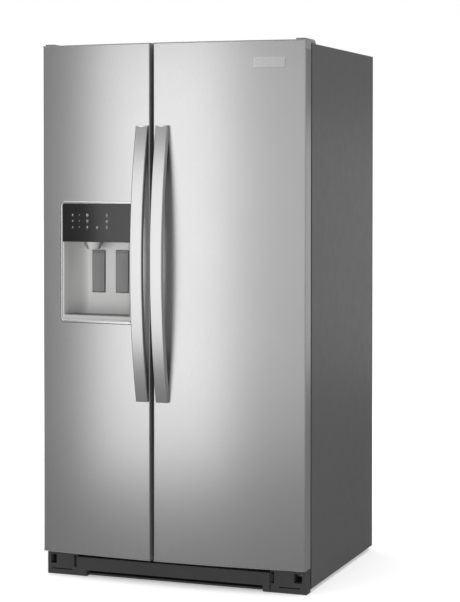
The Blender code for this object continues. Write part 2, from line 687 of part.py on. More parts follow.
def make_freezer_door():
    """The freezer's door, with the dispenser set into it and the ice bin on its back."""
    skin, foam, liner = make_door("freezer", -1, FREEZER_X)
    (x0, x1), (z0, z1) = BEZEL_X, BEZEL_Z
    hole = rectangle(x0 - FIT, z0 - FIT, x1 + FIT, z1 + FIT, BEZEL_RADIUS)
    cut(skin, plate("skin_hole", hole, "Y", DOOR_FRONT - 0.05, DOOR_FRONT + 0.015))

    rim_x = (x0 + BEZEL_RIM, x1 - BEZEL_RIM)
    rim_z = (z0 + BEZEL_RIM, z1 - BEZEL_RIM)
    frame = rectangle(x0, z0, x1, z1, BEZEL_RADIUS)
    window = rectangle(rim_x[0], rim_z[0], rim_x[1], rim_z[1], BEZEL_RADIUS / 2)
    curved_slab("dispenser_bezel", frame, 0.003, 0.015, "bright_trim", holes=(window,))
    inside_x = (rim_x[0] + FIT, rim_x[1] - FIT)
    inside_z = (rim_z[0] + FIT, rim_z[1] - FIT)
    corner = BEZEL_RADIUS / 2 - FIT
    panel = rectangle(inside_x[0], PANEL_BOTTOM, inside_x[1], inside_z[1], 0, corner)
    curved_slab("dispenser_control_panel", panel, 0.001, 0.004, "black_gloss")

    # The housing is a tub behind the bezel: its walls curve in towards the back
    top = PANEL_BOTTOM - FIT
    tub_x = (inside_x[0] + 0.004, inside_x[1] - 0.004)
    tub_z = (inside_z[0] + 0.0005, inside_z[1] - 0.004)
    panel_back = front_y(inside_x[0]) + 0.003 + FIT
    lip = rectangle(inside_x[0], inside_z[0], inside_x[1], top, corner, 0)
    housing = curved_slab("dispenser_housing", lip, 0.001, 0.012, "silver_plastic")
    join(housing, box("housing_tub", (tub_x[0], panel_back, tub_z[0]), (tub_x[1], HOUSING_BACK, tub_z[1])))
    cut(housing, plate("cavity", cavity_plan(*inside_x), "Z", TRAY_TOP + 0.0005, top + 0.001))
    half = PADDLE_WIDTH / 2 + 0.0015
    for x in PADDLE_X:
        low = (x - half, CAVITY_BACK - 0.02, PADDLE_Z[0] - 0.002)
        cut(housing, box("paddle_recess", low, (x + half, RECESS_BACK, PADDLE_Z[1] + 0.002)))
    tray_x = (tub_x[0] + PLASTIC + FIT, tub_x[1] - PLASTIC - FIT)
    low = (tray_x[0] - FIT, DOOR_FRONT - 0.06, inside_z[0] + 0.003)
    high = (tray_x[1] + FIT, CAVITY_BACK - 0.012, TRAY_TOP + 0.001)
    cut(housing, box("tray_pocket", low, high))
    make_tray(tray_x[0], tray_x[1], inside_z[0] + 0.0035)
    make_paddles()
    clearance = make_chute(housing)

    # The liner bulges into the freezer to make room for the housing
    low = (tub_x[0] - 0.006, DOOR_BACK - 0.001, z0 - 0.030)
    join(liner, box("liner_block", low, (tub_x[1] + 0.012, BLOCK_BACK, z1 + 0.030)))
    low = (tub_x[0] - FIT, DOOR_FRONT - 0.05, tub_z[0] - FIT)
    pocket = box("housing_pocket", low, (tub_x[1] + FIT, HOUSING_BACK + FIT, tub_z[1] + FIT))
    cut(liner, pocket, clearance)
    bezel_pocket = plate("bezel_pocket", hole, "Y", DOOR_FRONT - 0.05, DOOR_FRONT + 0.013)
    cut(foam, bezel_pocket, pocket, clearance)

    make_handle("freezer", DOOR_GAP_X - 0.0295)
    make_ice_bin()


def make_tray(x0, x1, bottom):
    """The drip tray, with a row of grooves across its top."""
    rear = CAVITY_BACK - 0.0125
    plan = front_curve(x0, x1, 0.0005, 8) + [(x1, rear), (x0, rear)]
    tray = plate("drip_tray", plan, "Z", bottom, TRAY_TOP, "silver_plastic")
    for i in range(16):
        left = x0 + 0.012 + TRAY_PITCH * i
        low = (left, DOOR_FRONT + 0.003, TRAY_TOP - 0.003)
        cut(tray, box("tray_groove", low, (left + 0.006, CAVITY_BACK - 0.022, TRAY_TOP + 0.01)))


def make_paddles():
    """The two levers that a glass presses, hinged at the top."""
    for name, x in zip(("ice_paddle", "water_paddle"), PADDLE_X):
        outline = rectangle(x - PADDLE_WIDTH / 2, PADDLE_Z[0], x + PADDLE_WIDTH / 2, PADDLE_Z[1], 0.004)
        paddle = plate(name, outline, "Y", PADDLE_FRONT, PADDLE_FRONT + PADDLE_SHEET, "paddle_grey")
        soften(paddle, 0.001, 1)


def make_chute(housing):
    """The ice duct with its cone nozzle. Returns the room that it takes up in what is round it."""
    half, bore = CHUTE_WIDTH / 2, CHUTE_WIDTH / 2 - 0.007
    chute = plate("ice_chute", duct_profile(0.0), "X", CHUTE_X - half, CHUTE_X + half, "silver_plastic")
    nozzle_at = (CHUTE_X, CHUTE_Y, PANEL_BOTTOM - 0.0145)
    join(chute, cylinder("chute_nozzle", nozzle_at, "Z", 0.022, 0.020, top_radius=0.033))
    cut(chute, plate("chute_bore", duct_profile(-0.003, 0.02), "X", CHUTE_X - bore, CHUTE_X + bore))
    half += FIT
    clearance = plate("chute_clearance", duct_profile(FIT, 0.02), "X", CHUTE_X - half, CHUTE_X + half)
    room_at = (CHUTE_X, CHUTE_Y, PANEL_BOTTOM - 0.0135)
    cut(housing, clearance, cylinder("nozzle_room", room_at, "Z", 0.0225, 0.0220, top_radius=0.0345))
    return clearance


def cavity_plan(x0, x1):
    """The dispenser cavity from above, open at the front, with curved sides."""
    mouth = DOOR_FRONT + 0.004
    left = [(x0 + 0.0025, front_y(x0) - 0.02), (x0 + 0.006, mouth)] + cavity_side(x0 + 0.0065, 1, mouth)
    right = [(x1 - 0.0025, front_y(x1) - 0.02), (x1 - 0.006, mouth)] + cavity_side(x1 - 0.0065, -1, mouth)
    return left + right[::-1]


def cavity_side(x, inward, mouth):
    """One side of the cavity: a quarter of an ellipse towards the back."""
    angles = [math.radians(90 * i / 8) for i in range(1, 9)]
    depth = CAVITY_BACK - mouth
    return [(x + inward * CAVITY_REACH * (1 - math.cos(a)), mouth + depth * math.sin(a)) for a in angles]


def duct_profile(grow, extend=0.0):
    """The ice chute from the side: down from the bin, forward, and down to the nozzle."""
    half = 0.021 + grow
    bottom, rear = PANEL_BOTTOM - 0.014, CHUTE_Y + 0.044
    centre = [(CHUTE_Y, bottom - extend), (CHUTE_Y, 1.150), (rear, 1.225), (rear, 1.283 + extend)]
    slant = 0.006
    front = [(y - half, z + (slant if 0 < i < 3 else 0)) for i, (y, z) in enumerate(centre)]
    back = [(y + half, z - (slant if 0 < i < 3 else 0)) for i, (y, z) in enumerate(centre)]
    return front + back[::-1]


def tub(name, low, high, wall, slot):
    """A box that is open at the top."""
    shell = box(name, low, high, slot)
    room_low = [value + wall for value in low]
    room_high = (high[0] - wall, high[1] - wall, high[2] + 0.01)
    return cut(shell, box(name + "_room", room_low, room_high))


def make_ice_bin():
    """The ice store on the freezer door, with an outlet over the chute."""
    dike = dike_limits(FREEZER_X)
    low = (dike[0] + DIKE_WALL + FIT, DOOR_BACK + FIT, 1.286)
    bin_shell = tub("ice_bin", low, (-0.134, BIN_REAR, 1.600), PLASTIC, "clear_plastic")
    cut(bin_shell, box("bin_outlet", (CHUTE_X - 0.020, -0.2855, 1.27), (CHUTE_X + 0.020, -0.240, 1.30)))


def make_refrigerator_door():
    """The refrigerator's door, with a blank badge and two bins."""
    make_door("refrigerator", 1, FRIDGE_X)
    curved_slab("badge", rectangle(0.288, 1.6685, 0.390, 1.7015, 0.004), 0.002, 0.0018, "bright_trim")
    make_handle("refrigerator", DOOR_GAP_X + 0.0402)
    dike = dike_limits(FRIDGE_X)
    left, right = dike[0] + DIKE_WALL + FIT, dike[1] - DIKE_WALL - FIT
    for name, z in (("door_bin_upper", 1.30), ("door_bin_lower", 0.62)):
        tub(name, (left, DOOR_BACK + FIT, z), (right, BIN_REAR, z + 0.13), PLASTIC, "clear_plastic")


# Inside ----------------------------------------------------------------------
def make_shelves():
    """Three glass shelves and the freezer's slotted one, each with a front rim."""
    for name, z, (x0, x1), slot in (
            ("refrigerator_shelf_upper", FRIDGE_SHELVES_Z[0], FRIDGE_X, "shelf_glass"),
            ("refrigerator_shelf_lower", FRIDGE_SHELVES_Z[1], FRIDGE_X, "shelf_glass"),
            ("crisper_shelf", CRISPER_SHELF_Z, FRIDGE_X, "shelf_glass"),
            ("freezer_shelf", FREEZER_SHELF_Z, FREEZER_X, "white_plastic")):
        outline = rectangle(x0 + 0.0008, SHELF_FRONT, x1 - 0.0008, SHELF_BACK - 0.004, 0.006)
        holes = ()
        if name == "freezer_shelf":
            lefts = [x0 + 0.025 + 0.0245 * i for i in range(11)]
            y0, y1 = SHELF_FRONT + 0.03, SHELF_BACK - 0.04
            holes = [rectangle(x, y0, x + 0.012, y1, 0.004, steps=2) for x in lefts]
        shelf = plate(name, outline, "Z", z, z + SHELF_SHEET, slot, holes)
        rim_high = (x1 - 0.010, SHELF_FRONT + 0.014, z + 0.008)
        join(shelf, box("front_rim", (x0 + 0.010, SHELF_FRONT, z - 0.006), rim_high))


def make_drawer(name, x_limits, z_limits, back, slot):
    """A drawer that hangs by its flanges on the liner's ledges, with a pull in its front."""
    x0, x1 = x_limits[0] + 0.0115, x_limits[1] - 0.0115
    z0, z1 = z_limits
    drawer = box(name, (x0, DRAWER_FRONT, z0), (x1, back, z1), slot)
    for wall, outward in ((x0, -1), (x1, 1)):
        ends = sorted((wall - outward * 0.001, wall + outward * 0.0105))
        join(drawer, box("flange", (ends[0], DRAWER_FRONT + 0.012, z1 - FLANGE), (ends[1], back, z1)))
    front_low = (x_limits[0] + 0.0015, DRAWER_FRONT - 0.008, z0 - 0.006)
    front_high = (x_limits[1] - 0.0015, DRAWER_FRONT + 0.003, z1 + 0.010)
    join(drawer, box("drawer_front", front_low, front_high))
    room_low = (x0 + PLASTIC, DRAWER_FRONT + 0.005, z0 + PLASTIC)
    room = box("drawer_room", room_low, (x1 - PLASTIC, back - PLASTIC, z1 + 0.02))
    middle = (x0 + x1) / 2
    pull_low = (middle - PULL_HALF, DRAWER_FRONT - 0.009, z1 - 0.030)
    pull = box("pull", pull_low, (middle + PULL_HALF, DRAWER_FRONT + 0.001, z1 - 0.012))
    cut(drawer, room, pull)


def make_drawers():
    make_drawer("upper_crisper", FRIDGE_X, UPPER_CRISPER_Z, UPPER_CRISPER_BACK, "clear_plastic")
    make_drawer("lower_crisper", FRIDGE_X, LOWER_DRAWER_Z, LOWER_DRAWER_BACK, "clear_plastic")
    make_drawer("freezer_basket", FREEZER_X, LOWER_DRAWER_Z, LOWER_DRAWER_BACK, "white_plastic")


def make_cooling():
    """Evaporator and its cover, ice maker, air housing."""
    x0, x1 = FREEZER_X
    coil_path = serpentine(x0 + 0.045, x1 - 0.045, 9, 0.50, 0.050, COIL_Y)
    evaporator = tube("evaporator_coil", coil_path, 0.004, "aluminium")
    for x in (x0 + 0.052, (x0 + x1) / 2, x1 - 0.052):
        join(evaporator, box("fin_plate", (x - 0.001, COIL_Y - 0.014, 0.48), (x + 0.001, BACK_Y - FIT, 0.92)))

    cover_high = (x1 - 0.001, BACK_Y - FIT, COVER_TOP)
    cover = box("evaporator_cover", (x0 + 0.001, COVER_FRONT, STEP_Z + 0.001), cover_high, "white_plastic")
    room_low = (x0 + 0.0035, COVER_FRONT + PLASTIC, STEP_Z - 0.01)
    cut(cover, box("cover_room", room_low, (x1 - 0.0035, BACK_Y + 0.01, COVER_TOP - PLASTIC)))
    for z in (1.06, 1.08, 1.10, 1.16, 1.18, 1.20):
        vent_low = (x0 + 0.06, COVER_FRONT - 0.013, z)
        cut(cover, box("air_vent", vent_low, (x1 - 0.06, COVER_FRONT + 0.007, z + 0.008)))
    make_ice_maker(x0, x1)
    make_control_housing()


def make_ice_maker(x0, x1):
    """A half-round mould with cube walls, and its motor box."""
    middle = (MAKER_Y, MAKER_Z)
    inner_radius = MAKER_RADIUS - 0.004
    trough = arc(middle, MAKER_RADIUS, 180, 360, 10) + arc(middle, inner_radius, 360, 180, 10)
    maker = plate("ice_maker", trough, "X", x0 + 0.004, x1 - 0.075, "white_plastic")
    motor_low = (x1 - 0.076, MAKER_Y - 0.055, MAKER_Z - 0.065)
    join(maker, box("maker_motor", motor_low, (x1 - 0.020, MAKER_Y + 0.055, MAKER_Z + 0.055)))
    wall = arc(middle, MAKER_RADIUS - 0.002, 187, 353, 10)
    for i in range(7):
        x = x0 + 0.030 + 0.0290 * i
        join(maker, plate("mould_wall", wall, "X", x - 0.001, x + 0.001))
    bracket_low = (x0 + FIT, MAKER_Y + 0.051, MAKER_Z - 0.02)
    join(maker, box("maker_bracket", bracket_low, (x0 + 0.020, MAKER_Y + 0.062, MAKER_Z + 0.040)))


def make_control_housing():
    """The lamp and control box under the refrigerator's ceiling."""
    x0, x1 = FRIDGE_X
    profile = [(-0.20, CEILING_Z - FIT), (-0.20, 1.675), (-0.185, 1.655), (0.10, 1.640), (0.12, 1.650),
               (0.12, CEILING_Z - FIT)]
    housing = plate("control_housing", profile, "X", x0 + 0.001, x1 - 0.001, "white_plastic")
    cut(housing, box("control_room", (x0 + 0.004, -0.18, 1.662), (x1 - 0.004, 0.115, CEILING_Z + 0.01)))


def make_machinery():
    """Everything in the machine compartment, standing on the rear tray."""
    floor = PAN_Z + 0.002 + FIT
    make_compressor(floor)
    condenser_path = serpentine(-0.365, -0.175, 5, 0.080, 0.030, 0.300)
    condenser = tube("condenser_coil", condenser_path, 0.003, "copper")
    for x in (-0.355, -0.185):
        join(condenser, box("coil_bracket", (x - 0.001, 0.285, floor), (x + 0.001, 0.315, 0.215)))
    make_fan(floor)
    make_valve_and_inlet(floor)


def make_compressor(floor):
    """A domed can with a seam flange, turned from its profile, with its plate and terminal box."""
    compressor = bpy.data.meshes.new("compressor")
    bm = bmesh.new()
    radius, height = 0.072, 0.125
    profile = [(0.0, height)] + [(radius * math.sin(a), height - 0.028 + 0.028 * math.cos(a))
                                 for a in [math.pi / 2 * i / 4 for i in range(1, 5)]]
    profile += [(radius + 0.004, 0.062), (radius + 0.004, 0.056), (radius, 0.054), (radius - 0.006, 0.010),
                (radius - 0.020, 0.0), (0.0, 0.0)]
    verts = [bm.verts.new((r, 0.0, z)) for r, z in profile]
    for a, b in zip(verts, verts[1:]):
        bm.edges.new((a, b))
    bm.to_mesh(compressor)
    bm.free()
    body = place("compressor", compressor, "black_plastic")
    x, y = COMPRESSOR_AT
    body.location = (x, y, floor + 0.012)
    turned = body.modifiers.new("Turn", "SCREW")
    turned.steps = turned.render_steps = 24
    turned.use_merge_vertices = True
    turned.merge_threshold = 0.0001
    join(body, box("mounting_plate", (x - 0.100, y - 0.060, floor), (x + 0.100, y + 0.060, floor + 0.014)))
    terminals = box("terminal_box", (x - 0.095, y - 0.025, floor + 0.045), (x - 0.055, y + 0.025, floor + 0.095))
    join(body, terminals)


def make_fan(floor):
    """The condenser fan's motor on its stand, and the bladed hub on its shaft."""
    hub_at = (FAN_X, FAN_Y, FAN_Z)
    motor = cylinder("condenser_fan_motor", (-0.010, FAN_Y, FAN_Z), "X", 0.026, 0.040, "black_plastic", 20)
    stand = box("motor_stand", (-0.022, FAN_Y - 0.025, floor), (0.002, FAN_Y + 0.025, FAN_Z - 0.015))
    join(motor, stand, cylinder("motor_shaft", (-0.045, FAN_Y, FAN_Z), "X", 0.003, 0.040, segments=12))

    hub = cylinder("condenser_fan_blade", hub_at, "X", 0.015, 0.024, "white_plastic", 20)
    twist = Matrix.Rotation(math.radians(28), 4, "Z")
    for i in range(5):
        blade = box("blade", (-0.0008, -0.020, 0.010), (0.0008, 0.020, 0.062))
        turn = Matrix.Rotation(2 * math.pi * i / 5, 4, "X")
        blade.matrix_world = Matrix.Translation(hub_at) @ turn @ twist @ Matrix.Translation(blade.location)
        join(hub, blade)
    cut(hub, cylinder("hub_bore", hub_at, "X", 0.0034, 0.060, segments=12))


def make_valve_and_inlet(floor):
    """The water valve and the power inlet, each on a bracket behind its port."""
    rear = CABINET_BACK - SHEET - 2 * FIT
    x, z = VALVE_X, VALVE_Z
    low, high = (x - 0.020, 0.395, z - 0.015), (x + 0.020, rear, z + 0.015)
    valve = box("water_inlet_valve", low, high, "white_plastic")
    port = cylinder("valve_port", (x, CABINET_BACK - 0.010, z), "Y", 0.009, 0.0196, segments=16)
    coil = cylinder("valve_coil", (x, 0.412, z + 0.028), "Z", 0.012, 0.030, segments=16)
    join(valve, port, coil, box("valve_bracket", (x - 0.016, 0.425, floor), (x + 0.016, 0.4275, z)))

    x, z = INLET_X, INLET_Z
    inlet = box("power_inlet", (x - 0.025, 0.390, z - 0.020), (x + 0.025, rear, z + 0.020), "black_plastic")
    join(inlet, box("inlet_bracket", (x - 0.019, 0.4, floor), (x + 0.019, 0.4025, z - 0.018)))
    cut(inlet, box("inlet_socket", (x - 0.014, 0.41, z - 0.010), (x + 0.014, 0.45, z + 0.010)))


make_cabinet()
make_chassis()
make_toe_grille()
make_hinges()
make_freezer_door()
make_refrigerator_door()
make_shelves()
make_drawers()
make_cooling()
make_machinery()
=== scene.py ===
"""Looks of the side-by-side refrigerator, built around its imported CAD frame.

Metres, in the frame's own axes: X points right, Y back and Z up, and the floor is
z = 0. New pieces are made in place, so every object sits at the origin.
"""
import math

import bmesh
import bpy
from mathutils import Matrix, Vector


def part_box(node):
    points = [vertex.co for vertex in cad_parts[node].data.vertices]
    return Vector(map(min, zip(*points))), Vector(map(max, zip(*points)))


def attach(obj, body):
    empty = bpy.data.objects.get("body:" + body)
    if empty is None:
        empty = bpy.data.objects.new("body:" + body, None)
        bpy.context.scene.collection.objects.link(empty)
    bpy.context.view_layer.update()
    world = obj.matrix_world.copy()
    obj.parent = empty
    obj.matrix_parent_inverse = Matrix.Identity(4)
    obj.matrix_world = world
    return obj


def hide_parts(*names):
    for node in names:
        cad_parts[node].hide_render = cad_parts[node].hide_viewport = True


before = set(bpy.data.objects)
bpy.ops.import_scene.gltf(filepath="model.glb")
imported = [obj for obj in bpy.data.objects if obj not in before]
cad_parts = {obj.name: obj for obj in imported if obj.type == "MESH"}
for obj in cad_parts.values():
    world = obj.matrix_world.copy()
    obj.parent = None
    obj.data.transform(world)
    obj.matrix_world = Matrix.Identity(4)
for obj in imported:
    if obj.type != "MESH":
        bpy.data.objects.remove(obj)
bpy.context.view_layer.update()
scene = bpy.context.scene


def limits(node):
    """A CAD node's limits along X, Y and Z."""
    low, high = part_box(node)
    return (low.x, high.x), (low.y, high.y), (low.z, high.z)


# Driving dimensions
HALF_WIDTH = limits("cabinet_wrapper")[0][1]
DOOR_BULGE = 0.0271  # of the bowed fronts, from the cabinet's sides to its middle
DOOR_EDGE_Y = limits("refrigerator_door_skin")[1][0] + DOOR_BULGE
SHEET = 0.0015  # thickness of a door skin
EDGE_ROLL = 0.004  # radius where a skin turns back at its sides
CAP_RISE = 0.003  # a door's end cap above its skin
TAB_DROP = 0.029  # how far the cap's tab reaches down beside the hinge
HANDLE_FOOT = 0.045  # length of a handle that sits on the door at either end
HANDLE_RISE = 0.051  # bow of a handle's face
HANDLE_END = 0.013  # depth of a handle at its ends
HANDLE_THICKNESS = 0.018
SCOOP_RADIUS = 0.042
SCOOP_DEPTH = 0.0042
BEZEL_RADIUS = 0.014  # of its outer corners
BEZEL_RIM = 0.009  # width of its rim
TRAY_BARS = 17
TRAY_PITCH = 0.0145
TRAY_BAR = 0.0085
COMPRESSOR_X = 0.245
COMPRESSOR_Y = 0.325
DOORS = ("freezer", "refrigerator")
WHITE = (1.0, 1.0, 1.0, 1.0)


# Materials -------------------------------------------------------------------
class Look:
    """A Principled material, with the few node set-ups that the finishes share."""

    def __init__(self, name, colour, roughness, metallic=0.0, **sockets):
        self.name = name
        self.material = bpy.data.materials.new("look_" + name)
        self.material.use_nodes = True
        self.tree = self.material.node_tree
        self.shader = self.tree.nodes["Principled BSDF"]
        self.put("Base Color", (*colour, 1.0))
        self.put("Roughness", roughness)
        self.put("Metallic", metallic)
        for socket, value in sockets.items():
            self.put(socket.replace("_", " "), value)
        self.colour, self.roughness = colour, roughness
        self.place = self.node("TexCoord").outputs["Object"]
        self.height = None

    def put(self, socket, value):
        self.shader.inputs[socket].default_value = value

    def node(self, kind, **values):
        made = self.tree.nodes.new("ShaderNode" + kind)
        for name, value in values.items():
            setattr(made, name, value)
        return made

    def link(self, output, to):
        self.tree.links.new(output, to)

    def texture(self, kind, scale, stretch=(1, 1, 1), **values):
        """A texture node in the object's own space, stretched along its axes."""
        mapping = self.node("Mapping")
        mapping.inputs["Scale"].default_value = stretch
        self.link(self.place, mapping.inputs["Vector"])
        made = self.node(kind, **values)
        made.inputs["Scale"].default_value = scale
        self.link(mapping.outputs["Vector"], made.inputs["Vector"])
        return made

    def noise(self, scale, detail=3.0, stretch=(1, 1, 1), roughness=0.5):
        """Noise from 0 to 1, finest along the axes that stretch makes large."""
        made = self.texture("TexNoise", scale, stretch)
        made.inputs["Detail"].default_value = detail
        made.inputs["Roughness"].default_value = roughness
        return made.outputs["Fac"]

    def cells(self, scale, feature="F1"):
        """Distances inside a pattern of cells."""
        return self.texture("TexVoronoi", scale, feature=feature).outputs["Distance"]

    def spread(self, value, low, high, start=0.3, end=0.7):
        """A value mapped from start...end to low...high."""
        ranged = self.node("MapRange")
        bounds = {"From Min": start, "From Max": end, "To Min": low, "To Max": high}
        for name, number in bounds.items():
            ranged.inputs[name].default_value = number
        self.link(value, ranged.inputs["Value"])
        return ranged.outputs["Result"]

    def tint(self, value, other, start=0.3, end=0.7):
        """Mixes the base colour towards another by a value."""
        mix = self.node("Mix", data_type="RGBA")
        mix.inputs["A"].default_value = (*self.colour, 1.0)
        mix.inputs["B"].default_value = (*other, 1.0)
        self.link(self.spread(value, 0.0, 1.0, start, end), mix.inputs["Factor"])
        self.link(mix.outputs["Result"], self.shader.inputs["Base Color"])
        return self

    def uneven(self, value, amount, start=0.3, end=0.7):
        """Roughness that varies by an amount either way."""
        result = self.spread(value, self.roughness - amount, self.roughness + amount, start, end)
        self.link(result, self.shader.inputs["Roughness"])
        return self

    def bump(self, value, distance, strength=1.0):
        """Adds relief, in metres."""
        bump = self.node("Bump")
        bump.inputs["Strength"].default_value = strength
        bump.inputs["Distance"].default_value = distance
        self.link(value, bump.inputs["Height"])
        if self.height:
            self.link(self.height, bump.inputs["Normal"])
        self.height = bump.outputs["Normal"]
        self.link(self.height, self.shader.inputs["Normal"])
        return self


def brushed(name, colour, roughness, grain=(60, 60, 1)):
    """Brushed metal: fine scratches across the large axes of the grain, and faint clouding."""
    look = Look(name, colour, roughness, 1.0)
    scratches = look.noise(40, 3, grain, 0.6)
    clouds = look.noise(3.5, 2)
    look.tint(clouds, [c * 0.97 for c in colour])
    look.uneven(scratches, 0.03)
    return look.bump(scratches, 0.000004, 0.5)


def moulded(name, colour, roughness, texture=0.00002, scale=1400, other=None, **sockets):
    """Moulded plastic: a fine spark-eroded texture and faint flow marks."""
    look = Look(name, colour, roughness, **sockets)
    flow = look.noise(6, 2)
    look.tint(flow, other or [c * 0.96 for c in colour])
    look.uneven(look.noise(30, 2), 0.03)
    return look.bump(look.noise(scale, 2), texture, 0.4)


def painted(name, colour, roughness):
    """Pebbled appliance paint on sheet steel."""
    look = Look(name, colour, roughness, 0.0)
    pebbles = look.cells(420, "SMOOTH_F1")
    look.tint(look.noise(2.5, 2), [c * 1.05 for c in colour])
    look.uneven(look.noise(20, 2), 0.02)
    return look.bump(pebbles, 0.00002, 0.3)


def make_looks():
    """Every finish by its name; those of the record's slots carry the slot's name."""
    looks = {}

    def add(look):
        looks[look.name] = look.material

    add(brushed("stainless", (0.58, 0.58, 0.58), 0.30))
    add(painted("grey_steel", (0.070, 0.070, 0.072), 0.40))
    zinc = brushed("zinc_steel", (0.52, 0.53, 0.54), 0.40, (1, 1, 1))
    zinc.tint(zinc.cells(55), (0.60, 0.61, 0.62), 0.0, 0.8)
    add(zinc)
    copper = Look("copper", (0.72, 0.36, 0.21), 0.34, 1.0)
    copper.tint(copper.noise(45, 4), (0.42, 0.20, 0.12), 0.45, 0.8)
    add(copper.uneven(copper.noise(70, 3), 0.10))
    aluminium = Look("aluminium", (0.74, 0.75, 0.76), 0.36, 1.0)
    aluminium.tint(aluminium.noise(30, 3), (0.62, 0.63, 0.65))
    add(aluminium.uneven(aluminium.noise(90, 3), 0.08).bump(aluminium.noise(500, 2), 0.00003, 0.5))
    compressor = Look("compressor_steel", (0.020, 0.020, 0.022), 0.30, 0.0, Coat_Weight=0.4)
    compressor.tint(compressor.noise(25, 4), (0.045, 0.043, 0.040), 0.5, 0.85)
    add(compressor.uneven(compressor.noise(40, 3), 0.10).bump(compressor.noise(160, 2), 0.00008, 0.4))
    add(moulded("black_plastic", (0.036, 0.036, 0.037), 0.48, 0.00003, 900, (0.042, 0.042, 0.043)))
    gloss = Look("black_gloss", (0.004, 0.004, 0.0045), 0.18, Specular_IOR_Level=0.55,
                 Coat_Weight=0.25, Coat_Roughness=0.12)
    gloss.tint(gloss.noise(14, 3), (0.006, 0.006, 0.0065))
    add(gloss.uneven(gloss.noise(25, 4), 0.03).bump(gloss.noise(40, 2), 0.00002, 0.15))
    add(moulded("dark_plastic", (0.055, 0.055, 0.057), 0.46, 0.00004, 1000))
    add(moulded("silver_plastic", (0.56, 0.56, 0.555), 0.38, 0.000004, 900, Metallic=0.2))
    add(moulded("paddle_grey", (0.19, 0.19, 0.195), 0.38, 0.00002, 1200))
    add(moulded("white_plastic", (0.80, 0.81, 0.82), 0.32, 0.00003, 700, Subsurface_Weight=0.05))
    clear = Look("clear_plastic", (0.97, 0.985, 0.99), 0.06, Transmission_Weight=0.84, IOR=1.49)
    clear.tint(clear.noise(8, 3), (0.95, 0.97, 0.98))
    add(clear.uneven(clear.noise(30, 3), 0.03).bump(clear.noise(60, 2), 0.00004, 0.2))
    glass = Look("shelf_glass", (0.82, 0.93, 0.90), 0.03, Transmission_Weight=0.95, IOR=1.5)
    glass.tint(glass.noise(6, 3), (0.76, 0.90, 0.87))
    add(glass.uneven(glass.noise(20, 3), 0.015))
    foam = Look("foam", (0.60, 0.57, 0.50), 0.92)
    foam.tint(foam.noise(40, 5), (0.50, 0.47, 0.40))
    add(foam.uneven(foam.noise(60, 3), 0.05).bump(foam.cells(300), 0.0008, 0.6))
    rubber = Look("gasket_rubber", (0.34, 0.34, 0.35), 0.62, Sheen_Weight=0.15)
    rubber.tint(rubber.noise(30, 4), (0.26, 0.26, 0.27))
    add(rubber.uneven(rubber.noise(80, 3), 0.08).bump(rubber.noise(900, 2), 0.00004, 0.5))
    add(brushed("bright_trim", (0.66, 0.66, 0.66), 0.26, (1, 1, 60)))

    # The icons' faint emission is a painted glow: they are printed marks, not lamps.
    icon_painted_glow = Look("icon_white", (0.56, 0.57, 0.58), 0.40, Emission_Color=WHITE, Emission_Strength=0.08)
    icon_painted_glow.tint(icon_painted_glow.noise(700, 2), (0.45, 0.46, 0.47))
    add(icon_painted_glow.uneven(icon_painted_glow.noise(300, 2), 0.05))
    add(brushed("screw_steel", (0.60, 0.60, 0.61), 0.28, (1, 1, 1)))
    add(moulded("cap_grey", (0.22, 0.22, 0.22), 0.40))
    add(moulded("tray_silver", (0.42, 0.42, 0.42), 0.40, 0.000006, 900, Metallic=0.2))
    return looks


LOOKS = make_looks()


# Pieces ----------------------------------------------------------------------
def arc(centre, radius, start, end, steps):
    """Points along an arc, angles in degrees."""
    angles = [math.radians(start + (end - start) * i / steps) for i in range(steps + 1)]
    return [(centre[0] + radius * math.cos(a), centre[1] + radius * math.sin(a)) for a in angles]


def round_rectangle(u0, v0, u1, v1, radius, steps=6):
    """A rectangle with round corners, anticlockwise from its lower right."""
    points = arc((u1 - radius, v0 + radius), radius, -90, 0, steps)
    points += arc((u1 - radius, v1 - radius), radius, 0, 90, steps)
    points += arc((u0 + radius, v1 - radius), radius, 90, 180, steps)
    return points + arc((u0 + radius, v0 + radius), radius, 180, 270, steps)


def inset_rectangle(across, up, offset, radius, steps):
    """A rectangle with round corners, inset by an offset from a node's limits."""
    (u0, u1), (v0, v1) = across, up
    return round_rectangle(u0 + offset, v0 + offset, u1 - offset, v1 - offset, radius, steps)


def front_y(x, proud=0.0):
    """The doors' bowed front, or a surface that stands proud of it."""
    return DOOR_EDGE_Y - DOOR_BULGE * (1 - (x / HALF_WIDTH) ** 2) - proud


def finished(bm, name, body, look, replaces=()):
    """A named piece from a bmesh, riding on a body."""
    bmesh.ops.recalc_face_normals(bm, faces=bm.faces)
    mesh = bpy.data.meshes.new(name)
    bm.to_mesh(mesh)
    bm.free()
    mesh.materials.append(LOOKS[look])
    mesh.shade_smooth()
    obj = bpy.data.objects.new(name, mesh)
    scene.collection.objects.link(obj)
    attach(obj, body)
    if replaces:
        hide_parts(*replaces)
    return obj


def crisp(obj, edge, segments=2, angle=30):
    """Small rounded edges on everything sharper than an angle, with even shading."""
    bevel = obj.modifiers.new("Edges", "BEVEL")
    bevel.width = edge
    bevel.segments = segments
    bevel.limit_method = "ANGLE"
    bevel.angle_limit = math.radians(angle)
    bevel.use_clamp_overlap = False
    obj.modifiers.new("Shading", "WEIGHTED_NORMAL").keep_sharp = True
    return obj


def piece(bm, name, body, look, edge, segments=2, replaces=()):
    """A finished piece with its edges eased."""
    return crisp(finished(bm, name, body, look, replaces), edge, segments)


def polish(node, edge, look=None):
    """A CAD node kept as it is: its shape tidied, its edges eased and its finish put on."""
    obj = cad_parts[node]
    slot = obj.material_slots[0]
    slot.material = LOOKS[look or slot.material.name.split(".")[0]]
    obj.data.shade_smooth()
    obj.modifiers.new("Weld", "WELD").merge_threshold = 0.00002
    crisp(obj, edge)


